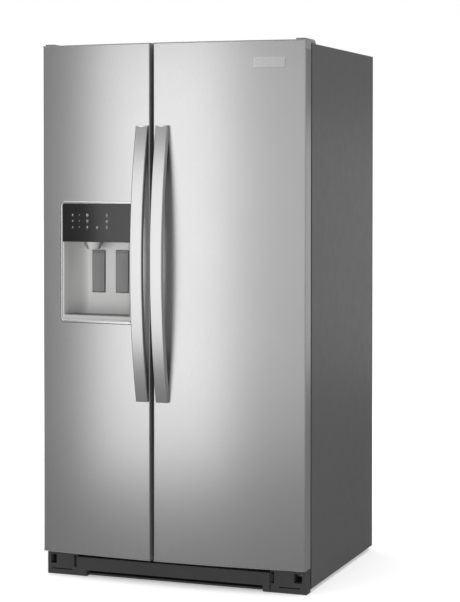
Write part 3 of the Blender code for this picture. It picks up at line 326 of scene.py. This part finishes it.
def loft(bm, rings, caps=True):
    """Faces between rings of points, all of one length, added to a bmesh."""
    made = [[bm.verts.new(p) for p in ring] for ring in rings]
    count = len(made[0])
    for a, b in zip(made, made[1:]):
        for i in range(count):
            j = (i + 1) % count
            bm.faces.new((a[i], a[j], b[j], b[i]))
    if caps:
        bm.faces.new(made[0][::-1])
        bm.faces.new(made[-1])


def swept_frame(outline_at, profile):
    """A closed frame: outline_at(offset, height) gives the ring of each profile point."""
    bm = bmesh.new()
    rings = [outline_at(offset, height) for offset, height in profile]
    loft(bm, rings + [rings[0]], caps=False)
    bmesh.ops.remove_doubles(bm, verts=bm.verts, dist=0.000001)
    return bm


def prism(outline, axis, low, high):
    """An outline in the other two axes, extruded along an axis."""
    place = {"X": lambda u, v, w: (w, u, v), "Y": lambda u, v, w: (u, w, v), "Z": lambda u, v, w: (u, v, w)}
    bm = bmesh.new()
    loft(bm, [[place[axis](u, v, w) for u, v in outline] for w in (low, high)])
    return bm


def block(bm, low, high):
    """A box added to a bmesh."""
    low, high = Vector(low), Vector(high)
    place = Matrix.Translation((low + high) / 2) @ Matrix.Diagonal((*(high - low), 1.0))
    bmesh.ops.create_cube(bm, size=1.0, matrix=place)


def turned(bm, profile, at, towards, segments=20):
    """A turned shape added to a bmesh: (radius, height) points up from a place, towards a direction."""
    turn = Vector((0, 0, 1)).rotation_difference(Vector(towards)).to_matrix().to_4x4()
    turn = Matrix.Translation(at) @ turn
    rings = []
    for radius, height in profile:
        angles = [2 * math.pi * (i + 0.5) / segments for i in range(segments)]
        rings.append([turn @ Vector((radius * math.cos(a), radius * math.sin(a), height)) for a in angles])
    loft(bm, rings)


def screws(name, body, towards, places, size=0.0042):
    """Sheet-metal screws: hexagon heads with a washer flange and a dished top."""
    bm = bmesh.new()
    for at in places:
        turned(bm, [(size * 1.35, -0.0003), (size * 1.35, 0.0004), (size * 1.1, 0.0010)], at, towards)
        head = [(size, 0.0005), (size, 0.0024), (size * 0.88, 0.0030), (size * 0.5, 0.0030),
                (size * 0.3, 0.0024)]
        turned(bm, head, at, towards, 6)
    piece(bm, name, body, "screw_steel", 0.0002, 1)


def wire(name, look, points, radius, sides=10):
    """A round wire or pipe of the cabinet through points, with its corners rounded."""
    curve = bpy.data.curves.new(name, "CURVE")
    curve.dimensions = "3D"
    curve.bevel_depth = radius
    curve.bevel_resolution = sides // 2 - 2
    curve.use_fill_caps = True
    spline = curve.splines.new("POLY")
    path = [Vector(points[0])]
    for before, corner, after in zip(points, points[1:], points[2:]):
        corner = Vector(corner)
        entry = corner + (Vector(before) - corner).normalized() * radius * 4
        leave = corner + (Vector(after) - corner).normalized() * radius * 4
        for t in (0.0, 0.25, 0.5, 0.75, 1.0):
            path.append(entry.lerp(corner, t).lerp(corner.lerp(leave, t), t))
    path.append(Vector(points[-1]))
    spline.points.add(len(path) - 1)
    for point, at in zip(spline.points, path):
        point.co = (*at, 1.0)
    guide = bpy.data.objects.new(name + "_path", curve)
    scene.collection.objects.link(guide)
    bpy.context.view_layer.update()
    mesh = bpy.data.meshes.new_from_object(guide.evaluated_get(bpy.context.evaluated_depsgraph_get()))
    bpy.data.objects.remove(guide, do_unlink=True)
    bm = bmesh.new()
    bm.from_mesh(mesh)
    bmesh.ops.remove_doubles(bm, verts=bm.verts, dist=0.00002)
    piece(bm, name, "cabinet", look, 0.0002, 1)


def cut(obj, *cutters):
    """Boolean cuts, applied at once so that the cutters can go."""
    made = []
    for bm in cutters:
        bmesh.ops.recalc_face_normals(bm, faces=bm.faces)
        mesh = bpy.data.meshes.new("cutter")
        bm.to_mesh(mesh)
        bm.free()
        cutter = bpy.data.objects.new("cutter", mesh)
        scene.collection.objects.link(cutter)
        made.append(cutter)
        modifier = obj.modifiers.new("Cut", "BOOLEAN")
        modifier.operation = "DIFFERENCE"
        modifier.solver = "EXACT"
        modifier.object = cutter
    bpy.context.view_layer.update()
    evaluated = obj.evaluated_get(bpy.context.evaluated_depsgraph_get())
    mesh = bpy.data.meshes.new_from_object(evaluated)
    obj.modifiers.clear()
    obj.data = mesh
    for cutter in made:
        bpy.data.objects.remove(cutter, do_unlink=True)


# Doors -----------------------------------------------------------------------
def skin_path(x0, x1, back, inset, steps=48):
    """A door skin from above: up one side, round the bowed front and down the other."""
    roll = EDGE_ROLL - inset
    left, right = x0 + inset, x1 - inset
    shift = front_y(left + roll, -inset) + roll
    path = [(left, back)] + arc((left + roll, shift), roll, 180, 270, 5)
    span = right - left - 2 * roll
    for i in range(1, steps):
        x = left + roll + span * i / steps
        path.append((x, front_y(x, -inset)))
    shift = front_y(right - roll, -inset) + roll
    return path + arc((right - roll, shift), roll, 270, 360, 5) + [(right, back)]


def make_skin(door, side, cutters=()):
    """The formed steel skin, with rolled front edges."""
    node = door + "_door_skin"
    (x0, x1), (_, back), (z0, z1) = limits(node)
    outer = skin_path(x0, x1, back, 0.0)
    inner = skin_path(x0, x1, back, SHEET)
    bm = prism(outer + inner[::-1], "Z", z0, z1)
    skin = finished(bm, node + "_formed", door + "_door", "stainless", replaces=[node])
    tab = sorted((side * HALF_WIDTH + side * 0.01, side * (HALF_WIDTH - SHEET - 0.0001)))
    notch = round_rectangle(tab[0], DOOR_EDGE_Y + 0.0055, tab[1], back + 0.01, 0.0004, 1)
    cut(skin, prism(notch, "Z", z1 + CAP_RISE - TAB_DROP, z1 + 0.01), *cutters)
    crisp(skin, 0.0003, 2, 35)


def make_edge_trim(door, side):
    """A grey strip down a door's side: -1 is its left side, 1 its right."""
    (x0, x1), (_, back), (z0, z1) = limits(door + "_door_skin")
    x, inset = x1 if side > 0 else x0, 0.0010
    face, deep = x + side * 0.0002, x - side * 0.0006
    near, far = front_y(x) + EDGE_ROLL + inset, back - inset
    bm = prism([(face, near), (face, far), (deep, far), (deep, near)], "Z", z0 + inset, z1 - inset)
    piece(bm, door + "_door_edge_trim", door + "_door", "cap_grey", 0.0001, 1)


def make_handle(door):
    """A bowed bar with a slightly crowned face and scooped ends."""
    node = door + "_door_handle"
    (x0, x1), (_, surface), (z0, z1) = limits(node)
    centre, middle, half = (x0 + x1) / 2, (z0 + z1) / 2, (z1 - z0) / 2
    crown, steps = 0.0012, 72
    sections = []
    for i in range(steps + 1):
        z = half * (2 * i / steps - 1)
        front = surface - HANDLE_END - HANDLE_RISE * (1 - (z / half) ** 2)
        inside = max(0.0, 1 - (z / (half - HANDLE_FOOT)) ** 2)
        back = surface - (HANDLE_RISE + HANDLE_END - HANDLE_THICKNESS) * inside
        ring = []
        for x, y in round_rectangle(x0, front, x1, back, 0.003, 4):
            lean = crown * (2 * (x - centre) / (x1 - x0)) ** 2 if y < front + 0.004 else 0.0
            ring.append((x, y + lean, middle + z))
        sections.append(ring)
    bm = bmesh.new()
    loft(bm, sections)
    bar = finished(bm, node + "_bar", door + "_door", "stainless", replaces=[node])
    scoops = []
    for end, up in ((z0, -1), (z1, 1)):
        deepest = Vector((centre, surface - HANDLE_END, end - up * SCOOP_DEPTH))
        on_axis = deepest + Vector((0, -1, up)).normalized() * SCOOP_RADIUS
        bm = bmesh.new()
        turned(bm, [(SCOOP_RADIUS, -0.05), (SCOOP_RADIUS, 0.05)], on_axis, (0, 1, up), 160)
        scoops.append(bm)
    cut(bar, *scoops)
    crisp(bar, 0.0006, 3)


def make_bezel():
    """The frame round the dispenser, with a soft raised rim."""
    node = "dispenser_bezel"
    (x0, x1), _, (z0, z1) = limits(node)
    profile = [(0.0, -0.010), (0.0, 0.0010), (0.0006, 0.0022), (0.0018, 0.0029), (0.0035, 0.0030),
               (0.0060, 0.0030), (0.0076, 0.0027), (0.0086, 0.0018), (BEZEL_RIM, 0.0006), (BEZEL_RIM, -0.010)]

    def outline(offset, height):
        points = inset_rectangle((x0, x1), (z0, z1), offset, BEZEL_RADIUS - offset, 8)
        dense = []
        for (u, v), (s, t) in zip(points, points[1:] + points[:1]):
            steps = 8 if abs(s - u) > 0.05 else 1
            dense += [(u + (s - u) * i / steps, v + (t - v) * i / steps) for i in range(steps)]
        return [(u, front_y(u, height), v) for u, v in dense]

    bm = swept_frame(outline, profile)
    finished(bm, node + "_frame", "freezer_door", "bright_trim", replaces=[node])


def make_paddle(node):
    """A dished lever with rounded lower corners, hung on a barrel across its top."""
    (x0, x1), (y0, y1), (z0, z1) = limits(node)
    middle, half, corner, dish = (x0 + x1) / 2, (x1 - x0) / 2, 0.009, 0.0022
    heights = [z0 + corner * (1 - math.cos(math.radians(a))) for a in (8, 25, 45, 65, 90)]
    heights += [z0 + corner + (z1 - z0 - corner) * i / 14 for i in range(1, 15)]
    sections = []
    for z in heights:
        lost = max(0.0, corner - (z - z0))
        reach = half - corner + math.sqrt(corner ** 2 - lost ** 2)
        fade = min(1.0, (z1 - z) / 0.016) * min(1.0, (z - z0) / 0.012)
        across = [-1 + i / 6 for i in range(13)]
        front = [(middle + reach * u, y0 + dish * fade * (1 - u * u), z) for u in across]
        back = [(x, max(y1, y + 0.0022), z) for x, y, _ in reversed(front)]
        sections.append(front + back)
    bm = bmesh.new()
    loft(bm, sections)
    barrel = [(0.0018, -half + 0.0008), (0.0026, -half + 0.0016), (0.0026, half - 0.0016),
              (0.0018, half - 0.0008)]
    turned(bm, barrel, (middle, (y0 + y1) / 2, z1 - 0.0065), (1, 0, 0))
    piece(bm, node + "_dished", node, "paddle_grey", 0.0005, replaces=[node])


def stroke(bm, points, width, sink=0.0008, stand=0.0012):
    """A raised line on the control panel, through points in X and Z."""
    for (u, v), (s, t) in zip(points, points[1:]):
        along = Vector((s - u, t - v)).normalized() * width / 2
        side = Vector((-along.y, along.x))
        corners = [Vector((u, v)) - along + side, Vector((u, v)) - along - side,
                   Vector((s, t)) + along - side, Vector((s, t)) + along + side]
        loft(bm, [[(c.x, front_y(c.x, proud), c.y) for c in corners] for proud in (sink, stand)])


ICONS = {
    "cube": [arc((0, 0), 1, 30, 390, 6), [(0, 0), (0, -1)], [(0, 0), (0.87, 0.5)], [(0, 0), (-0.87, 0.5)]],
    "crushed": [[(-1, -0.7), (-0.4, 0.4), (0.1, -0.7), (-1, -0.7)],
                [(0.2, -0.1), (0.6, 0.8), (1, -0.1), (0.2, -0.1)]],
    "drop": [arc((0, -0.3), 0.65, 150, 390, 10), [(-0.56, 0.02), (0, 1), (0.56, 0.02)]],
    "bulb": [arc((0, 0.25), 0.7, -50, 230, 10), [(-0.4, -0.6), (0.4, -0.6)], [(-0.3, -0.95), (0.3, -0.95)]],
    "lock": [[(-0.7, -0.9), (0.7, -0.9), (0.7, 0.1), (-0.7, 0.1), (-0.7, -0.9)],
             arc((0, 0.1), 0.48, 0, 180, 6)],
    "filter": [[(-0.6, -0.9), (0.6, -0.9), (0.6, 0.9), (-0.6, 0.9), (-0.6, -0.9)], [(-0.6, 0.3), (0.6, 0.3)]],
    "flake": [[(-0.9, 0), (0.9, 0)], [(-0.45, -0.8), (0.45, 0.8)], [(-0.45, 0.8), (0.45, -0.8)]],
    "glass": [[(-0.7, 0.9), (-0.45, -0.9), (0.45, -0.9), (0.7, 0.9)], [(-0.6, 0.3), (0.6, 0.3)]],
}
ICON_ROWS = (1.1995, 1.1800, 1.1600)
ICON_COLUMNS = {  # place along X: half size and the signs from the top down
    -0.3430: (0.0024, ("filter", "lock", "bulb")),
    -0.3180: (0.0012, ("drop", "cube", "flake")),
    -0.2885: (0.0040, ("cube", "glass", "flake")),
    -0.2525: (0.0034, (None, None, "crushed")),
    -0.2165: (0.0040, ("drop", "crushed", "bulb")),
}


def make_icons():
    """Small pale marks printed proud on the dark panel, with a faint painted glow: plain generic signs, with
    no lettering.
    """
    bm = bmesh.new()
    for x, (size, names) in ICON_COLUMNS.items():
        for z, name in zip(ICON_ROWS, names):
            for line in ICONS.get(name, ()):
                stroke(bm, [(x + size * u, z + size * v) for u, v in line], 0.0004 + 0.12 * size)
            if name:
                stroke(bm, [(x - size * 0.8, z - size * 1.5), (x + size * 0.8, z - size * 1.5)], 0.0005)
    finished(bm, "dispenser_panel_icons", "freezer_door", "icon_white")


def make_gasket(door):
    """A soft seal with a dart-shaped fold between its foot and its magnet pocket."""
    node = door + "_door_gasket"
    (x0, x1), (y0, y1), (z0, z1) = limits(node)
    profile = [(0.0, y0), (0.016, y0), (0.016, y0 + 0.0022), (0.0125, y0 + 0.0032), (0.0155, y0 + 0.0045),
               (0.0155, y1 - 0.0008), (0.0148, y1), (0.0020, y1), (0.0012, y1 - 0.0008),
               (0.0012, y0 + 0.0045), (0.0038, y0 + 0.0032), (0.0, y0 + 0.0022)]

    def outline(offset, y):
        points = inset_rectangle((x0, x1), (z0, z1), offset, max(0.001, 0.010 - offset), 4)
        return [(u, y, v) for u, v in points]

    bm = swept_frame(outline, profile)
    piece(bm, node + "_bellows", door + "_door", "gasket_rubber", 0.0003, replaces=[node])


def make_tray_grille():
    """Grey bars over the drip tray's grooves, inside a rim that follows the bowed front."""
    (x0, x1), (_, y1), (_, z1) = limits("drip_tray")
    low, high, rim = z1 - 0.0005, z1 + 0.0009, 0.005
    bm = bmesh.new()

    def strip(left, right, front, back):
        steps = max(1, round((right - left) / 0.02))
        xs = [left + (right - left) * i / steps for i in range(steps + 1)]
        plan = [(x, front(x)) for x in xs] + [(x, back(x)) for x in reversed(xs)]
        loft(bm, [[(x, y, z) for x, y in plan] for z in (low, high)])

    left, right = x0 + 0.004, x1 - 0.004
    strip(left, right, lambda x: front_y(x, -0.007), lambda x: front_y(x, -0.007 - rim))
    strip(left, right, lambda x: y1 - 0.003 - rim, lambda x: y1 - 0.003)
    for i in range(TRAY_BARS):
        bar = x0 + 0.0035 + TRAY_PITCH * i
        strip(max(bar, left), min(bar + TRAY_BAR, right), lambda x: front_y(x, -0.011), lambda x: y1 - 0.007)
    piece(bm, "drip_tray_grille", "freezer_door", "paddle_grey", 0.0004)


def make_spout():
    """A pale hollow funnel in front of the ice chute's grey nozzle, whose grey is partly painted shade round
    the funnel.
    """
    (x0, x1), (y0, _), (z0, _) = limits("ice_chute")
    x, y = (x0 + x1) / 2 + 0.007, y0 + 0.0170

    def outline(radius, z):
        return [(x + u, y + v, z) for u, v in arc((0, 0), radius, 0, 350, 35)]

    profile = [(0.0140, z0), (0.0224, z0 + 0.0205), (0.0230, z0 + 0.0235), (0.0212, z0 + 0.0235),
               (0.0206, z0 + 0.0205), (0.0122, z0)]
    piece(swept_frame(outline, profile), "ice_chute_spout", "freezer_door", "silver_plastic", 0.0004)


def dispenser_hole():
    """A cutter for the hole in the freezer door's skin, a small gap round the bezel."""
    across, _, up = limits("dispenser_bezel")
    gap = 0.0003
    outline = inset_rectangle(across, up, -gap, BEZEL_RADIUS + gap, 8)
    return prism(outline, "Y", DOOR_EDGE_Y - 0.05, DOOR_EDGE_Y + 0.015)


# Inside ----------------------------------------------------------------------
def make_glass_shelf(node):
    """Tempered glass in a moulded frame with a rounded nose."""
    (x0, x1), (y0, y1), (z0, _) = limits(node)
    sheet, rail = z0 + 0.006, 0.010
    overlap = rail - 0.002
    bm = bmesh.new()
    block(bm, (x0 + overlap, y0 + 0.011, sheet + 0.0008), (x1 - overlap, y1 - overlap, sheet + 0.0040))
    piece(bm, node + "_glass", "cabinet", "shelf_glass", 0.0006, replaces=[node])

    def outline(offset, height):
        points = inset_rectangle((x0, x1), (y0, y1), offset, max(0.001, 0.006 - offset / 2), 3)
        return [(u, v, sheet + height) for u, v in points]

    profile = [(0.0, 0.0), (0.0, 0.0042), (0.0012, 0.0052), (0.0085, 0.0052), (rail, 0.0042), (rail, 0.0)]
    bm = swept_frame(outline, profile)
    nose = arc((y0 + 0.004, sheet + 0.004), 0.004, 90, 180, 5)
    nose += arc((y0 + 0.004, sheet - 0.002), 0.004, 180, 270, 5)
    nose += [(y0 + 0.014, sheet - 0.006), (y0 + 0.014, sheet + 0.008)]
    ends = (x0 + 0.0092, x1 - 0.0092)
    loft(bm, [[(x, v, w) for v, w in nose] for x in ends])
    piece(bm, node + "_frame", "cabinet", "white_plastic", 0.0005, replaces=[node])


def make_drawer_front(node):
    """A rounded rail along the top of a drawer's front, and a lip over its pull."""
    (x0, x1), (y0, _), (_, z1) = limits(node)
    middle = (x0 + x1) / 2
    rail = arc((y0 + 0.001, z1 - 0.0025), 0.0035, 90, 270, 8)
    rail += [(y0 + 0.003, z1 - 0.006), (y0 + 0.003, z1 + 0.001)]
    bm = prism(rail, "X", x0 + 0.002, x1 - 0.002)
    lip = [(y0 - 0.0045, z1 - 0.0255), (y0 + 0.0005, z1 - 0.0270), (y0 + 0.0005, z1 - 0.0222),
           (y0 - 0.0035, z1 - 0.0225)]
    loft(bm, [[(x, v, w) for v, w in lip] for x in (middle - 0.078, middle + 0.078)])
    piece(bm, node + "_front_rail", node, "white_plastic", 0.0006)


def make_bin_rail(node):
    """A moulded band along the room side of a door bin."""
    (x0, x1), (_, y1), (_, z1) = limits(node)
    band = [(y1 - 0.0002, z1 - 0.020), (y1 + 0.0012, z1 - 0.0185), (y1 + 0.0016, z1 - 0.010),
            (y1 + 0.0012, z1 - 0.0015), (y1 - 0.0002, z1 - 0.0002)]
    bm = prism(band, "X", x0 + 0.004, x1 - 0.004)
    piece(bm, node + "_rail", "refrigerator_door", "white_plastic", 0.0004)


def make_lamp_and_knobs():
    """The ceiling box's lamp lens and its two temperature knobs."""
    (x0, x1), (y0, y1), (z0, _) = limits("control_housing")
    middle = (x0 + x1) / 2
    lens = round_rectangle(middle - 0.12, y1 - 0.105, middle + 0.12, y1 - 0.030, 0.010)
    bm = prism(lens, "Z", z0 - 0.004, z0 + 0.003)
    for i in range(9):
        x = middle - 0.104 + 0.026 * i
        block(bm, (x - 0.001, y1 - 0.098, z0 - 0.0052), (x + 0.001, y1 - 0.037, z0 - 0.0035))
    piece(bm, "control_housing_lens", "cabinet", "clear_plastic", 0.0008)
    bm = bmesh.new()
    for x in (middle - 0.10, middle + 0.10):
        at = (x, y0 + 0.055, z0 + 0.0135)
        turned(bm, [(0.021, -0.001), (0.021, 0.003), (0.019, 0.005)], at, (0, 0, -1), 40)
        turned(bm, [(0.0150, 0.004), (0.0140, 0.012), (0.0125, 0.0135)], at, (0, 0, -1), 32)
        block(bm, (x - 0.002, y0 + 0.041, z0 - 0.0025), (x + 0.002, y0 + 0.069, z0 + 0.0015))
    piece(bm, "control_housing_knobs", "cabinet", "white_plastic", 0.0006)


def make_ice_details():
    """The ice maker's shut-off arm and its row of ejector fingers."""
    (x0, x1), (y0, y1), (z0, z1) = limits("ice_maker")
    side = [(y0 + 0.004, z1 - 0.060), (y0 - 0.022, z1 - 0.060), (y0 - 0.040, z0 - 0.020)]
    arm = [(x1 - 0.060, y, z) for y, z in side] + [(x0 + 0.030, y, z) for y, z in reversed(side)]
    wire("ice_maker_arm", "screw_steel", arm, 0.0014, 8)
    bm = bmesh.new()
    axle_z, y = z0 + 0.048, (y0 + y1) / 2 - 0.002
    turned(bm, [(0.004, 0.0), (0.004, x1 - x0 - 0.10)], (x0 + 0.012, y, axle_z), (1, 0, 0), 12)
    for i in range(8):
        x = x0 + 0.0195 + 0.0290 * i
        if x < x1 - 0.085:
            block(bm, (x - 0.004, y - 0.036, axle_z - 0.0012), (x + 0.004, y, axle_z + 0.0012))
    piece(bm, "ice_maker_fingers", "cabinet", "white_plastic", 0.0004, 1)


# Fixings, back and underside -------------------------------------------------
def make_fixings():
    """Screws of the back panels, hinge covers and bottom hinges, and the pressed beads of the back."""
    (x0, x1), (_, back), (z0, z1) = limits("back_panel")
    columns = [x0 + 0.012 + (x1 - x0 - 0.024) * i / 4 for i in range(5)]
    places = [(x, back, z) for x in columns for z in (z0 + 0.010, z1 - 0.010)]
    places += [(x, back, z0 + (z1 - z0) * i / 5) for x in (columns[0], columns[-1]) for i in range(1, 5)]
    screws("back_panel_screws", "cabinet", (0, 1, 0), places)
    bm = bmesh.new()
    for i in range(5):
        z = z0 + 0.18 + 0.28 * i
        outline = round_rectangle(x0 + 0.09, z - 0.010, x1 - 0.09, z + 0.010, 0.0099, 8)
        loft(bm, [[(u, y, v) for u, v in outline] for y in (back - 0.001, back + 0.0012)])
    piece(bm, "back_panel_beads", "cabinet", "zinc_steel", 0.0009, 3)

    (x0, x1), (_, back), (z0, z1) = limits("machine_compartment_cover")
    columns = (x0 + 0.010, -0.235, 0.0, 0.225, x1 - 0.010)
    places = [(x, back, z) for x in columns for z in (z0 + 0.010, z1 - 0.010)]
    screws("machine_cover_screws", "cabinet", (0, 1, 0), places)

    for door, side in zip(DOORS, (-1, 1)):
        (x0, x1), (_, back), (_, top) = limits(door + "_hinge_cover")
        places = [((x0 + x1) / 2, back - 0.033, top)]
        screws(door + "_hinge_cover_screw", "cabinet", (0, 0, 1), places)
        _, (_, back), (foot, _) = limits(door + "_bottom_hinge")
        leg_x = side * (HALF_WIDTH - 0.033)
        places = [(leg_x + offset, back - 0.0032, foot + 0.012) for offset in (-0.008, 0.008)]
        screws(door + "_bottom_hinge_screws", "cabinet", (0, -1, 0), places, 0.0036)


def make_flanges():
    """The front edge's fold, a black air dam behind the toe grille that is also painted shadow in the gap
    beneath the doors, and the hems of the open back.
    """
    wrapper, grille = limits("cabinet_wrapper"), limits("toe_grille")
    front, reach, grille_top = wrapper[1][0], HALF_WIDTH - 0.0485, grille[2][1]
    bm = bmesh.new()
    block(bm, (-reach, front - 0.0006, grille_top + 0.0045), (reach, front + 0.0002, grille_top + 0.0125))
    piece(bm, "cabinet_front_flange", "cabinet", "grey_steel", 0.0002, 1)

    # The air dam is black to paint the shade in the gap between the toe grille and the doors' bottom edges.
    behind, reach = grille[1][0] + 0.0300, 0.405
    bm = bmesh.new()
    block(bm, (-reach, behind, grille_top - 0.0230), (reach, behind + 0.0015, grille_top + 0.0010))
    piece(bm, "toe_grille_air_dam_painted_shadow", "cabinet", "black_plastic", 0.0003, 1)

    (x0, x1), (y0, _), (z0, z1) = limits("back_panel")
    edge, top = HALF_WIDTH - 0.0009, wrapper[2][1] - 0.0009
    foot = limits("machine_compartment_cover")[2][0] + 0.040
    left, right, ceiling = x0 + 0.001, x1 - 0.001, z1 - 0.001
    outline = [(-edge, foot), (-edge, top), (edge, top), (edge, foot), (right, foot), (right, ceiling),
               (left, ceiling), (left, foot)]
    bm = prism(outline, "Y", y0 - 0.0004, y0 + 0.0004)
    block(bm, (x0, y0 - 0.0004, z0 - 0.0040), (x1, y0 + 0.0003, z0 + 0.0010))
    piece(bm, "cabinet_back_flange", "cabinet", "grey_steel", 0.0002, 1)


def make_pipes():
    """Copper pipes between the compressor, the condenser and the foamed wall."""
    port = limits("compressor")[2][1] - 0.040
    x, near, far, high = COMPRESSOR_X - 0.110, COMPRESSOR_Y - 0.020, COMPRESSOR_Y - 0.075, 0.218
    hot = [(COMPRESSOR_X - 0.055, near, port), (x, near, port), (x, far, port), (0.030, far, port),
           (0.030, far, high), (-0.120, far, high), (-0.120, 0.300, high), (-0.160, 0.300, 0.203)]
    wire("compressor_hot_pipe", "copper", hot, 0.003)
    x, y = COMPRESSOR_X + 0.100, COMPRESSOR_Y + 0.010
    cold = [(COMPRESSOR_X + 0.050, y, port), (x, y, port), (x, y, 0.2285)]
    wire("compressor_cold_pipe", "copper", cold, 0.004)


# Plain CAD nodes -------------------------------------------------------------
KEPT = {  # width of the eased edges, and the nodes that have them
    0.0010: ["cabinet_wrapper", "toe_grille", "freezer_liner", "refrigerator_liner", "freezer_door_liner",
             "refrigerator_door_liner", "evaporator_cover", "control_housing", "ice_maker",
             "upper_crisper", "lower_crisper", "freezer_basket", "ice_bin", "door_bin_upper",
             "door_bin_lower", "dispenser_housing"],
    0.0005: ["back_panel", "machine_compartment_cover", "base_chassis", "freezer_hinge_cover",
             "refrigerator_hinge_cover", "freezer_top_hinge", "refrigerator_top_hinge",
             "freezer_bottom_hinge", "refrigerator_bottom_hinge", "freezer_door_top_cap",
             "refrigerator_door_top_cap", "freezer_door_bottom_cap", "refrigerator_door_bottom_cap",
             "compressor", "condenser_fan_motor", "condenser_fan_blade", "water_inlet_valve",
             "power_inlet", "rear_roller_left", "rear_roller_right", "levelling_foot_left",
             "levelling_foot_right", "freezer_shelf", "ice_chute", "drip_tray",
             "dispenser_control_panel", "badge"],
    0.0002: ["condenser_coil", "evaporator_coil", "cabinet_foam", "freezer_door_foam",
             "refrigerator_door_foam"],
}
GREY_PARTS = ("_door_top_cap", "_door_bottom_cap", "_hinge_cover")
OTHER_LOOKS = {door + part: "cap_grey" for door in DOORS for part in GREY_PARTS}
# The ice chute's grey is its plastic and also painted shade, darkening the sides round the pale spout.
OTHER_LOOKS.update(drip_tray="tray_silver", ice_chute="paddle_grey")


# Studio ----------------------------------------------------------------------
def make_camera():
    """The main view: a long lens, from the front and a little to the right."""
    data = bpy.data.cameras.new("camera")
    data.lens = 107.62
    data.sensor_width = 36
    data.shift_x = 0.0378
    data.shift_y = -0.1495
    data.clip_end = 100
    camera = bpy.data.objects.new("camera", data)
    camera.location = (2.1674, -5.7318, 1.3389)
    camera.rotation_euler = (math.radians(90 - 1.2314), 0, math.radians(20.7666))
    scene.collection.objects.link(camera)
    scene.camera = camera


def softbox(name, azimuth, distance, height, size, power):
    """An area light that faces the refrigerator's upright axis. Azimuth 0 is straight ahead of it."""
    data = bpy.data.lights.new(name, "AREA")
    data.shape = "RECTANGLE"
    data.size, data.size_y = size
    data.energy = power
    lamp = bpy.data.objects.new(name, data)
    a = math.radians(azimuth)
    lamp.location = (math.sin(a) * distance, -math.cos(a) * distance, height)
    lamp.rotation_euler = (math.radians(90), 0, a)
    lamp.visible_camera = False
    scene.collection.objects.link(lamp)
    return lamp


def make_studio():
    """A white floor with painted shadow beneath the refrigerator, soft boxes, and a surround that looks
    white.
    """
    bm = bmesh.new()
    bmesh.ops.create_grid(bm, x_segments=1, y_segments=1, size=40)
    mesh = bpy.data.meshes.new("floor")
    bm.to_mesh(mesh)
    bm.free()
    floor = bpy.data.objects.new("floor", mesh)
    floor.location.z = -0.0005
    floor.visible_glossy = False
    paint = Look("studio_white", (0.93, 0.93, 0.93), 0.7, Emission_Color=WHITE, Emission_Strength=0.4)
    paint.tint(paint.noise(2, 2), (0.92, 0.92, 0.92))
    reach = paint.node("VectorMath", operation="LENGTH")
    paint.link(paint.place, reach.inputs[0])
    glow = paint.spread(reach.outputs["Value"], 0.40, 0.85, 0.9, 3.2)
    paint.link(glow, paint.shader.inputs["Emission Strength"])
    mesh.materials.append(paint.material)
    scene.collection.objects.link(floor)

    softbox("key", -20, 2.2, 1.06, (1.0, 2.0), 8.4)
    softbox("front_fill", 8, 3.0, 1.15, (2.2, 2.2), 6.9)
    softbox("right_fill", 80, 4.5, 1.3, (3.0, 2.6), 15)
    softbox("back_fill", 158, 3.4, 0.95, (1.6, 1.3), 2.5)
    top = softbox("top", 0, 0.0, 4.2, (7.0, 7.0), 235)
    top.location = (0, -0.2, 4.2)
    top.rotation_euler = (0, 0, 0)

    # A dark sheet beneath the cabinet is painted shadow: it stands in for the shade where the base hides the
    # floor from the lamps.
    shade = Look("studio_shade", (0.03, 0.03, 0.03), 0.8)
    shade.uneven(shade.noise(4, 2), 0.05).tint(shade.noise(6, 2), (0.035, 0.035, 0.035))
    bm = bmesh.new()
    block(bm, (-0.432, -0.294, -0.0004), (0.432, 0.425, -0.0001))
    mesh = bpy.data.meshes.new("floor_shade")
    bm.to_mesh(mesh)
    bm.free()
    mesh.materials.append(shade.material)
    painted_shadow_sheet = bpy.data.objects.new("floor_shade", mesh)
    painted_shadow_sheet.visible_glossy = False
    scene.collection.objects.link(painted_shadow_sheet)

    world = bpy.data.worlds.new("surround")
    world.use_nodes = True
    tree = world.node_tree
    grey = tree.nodes["Background"]
    grey.inputs["Color"].default_value = (0.25, 0.25, 0.25, 1.0)
    white = tree.nodes.new("ShaderNodeBackground")
    white.inputs["Color"].default_value = WHITE
    path = tree.nodes.new("ShaderNodeLightPath")
    mix = tree.nodes.new("ShaderNodeMixShader")
    tree.links.new(path.outputs["Is Camera Ray"], mix.inputs["Fac"])
    tree.links.new(grey.outputs["Background"], mix.inputs[1])
    tree.links.new(white.outputs["Background"], mix.inputs[2])
    tree.links.new(mix.outputs["Shader"], tree.nodes["World Output"].inputs["Surface"])
    scene.world = world
    scene.view_settings.view_transform = "Standard"


for edge, names in KEPT.items():
    for node_name in names:
        polish(node_name, edge, OTHER_LOOKS.get(node_name))
make_skin("freezer", -1, [dispenser_hole()])
make_skin("refrigerator", 1)
make_edge_trim("freezer", 1)
make_edge_trim("refrigerator", -1)
for door_name in DOORS:
    make_handle(door_name)
    make_gasket(door_name)
make_bezel()
for lever in ("ice_paddle", "water_paddle"):
    make_paddle(lever)
make_icons()
make_tray_grille()
make_spout()
for shelf in ("refrigerator_shelf_upper", "refrigerator_shelf_lower", "crisper_shelf"):
    make_glass_shelf(shelf)
for drawer in ("upper_crisper", "lower_crisper", "freezer_basket"):
    make_drawer_front(drawer)
for door_bin in ("door_bin_upper", "door_bin_lower"):
    make_bin_rail(door_bin)
make_lamp_and_knobs()
make_ice_details()
make_fixings()
make_flanges()
make_pipes()
make_camera()
make_studio()
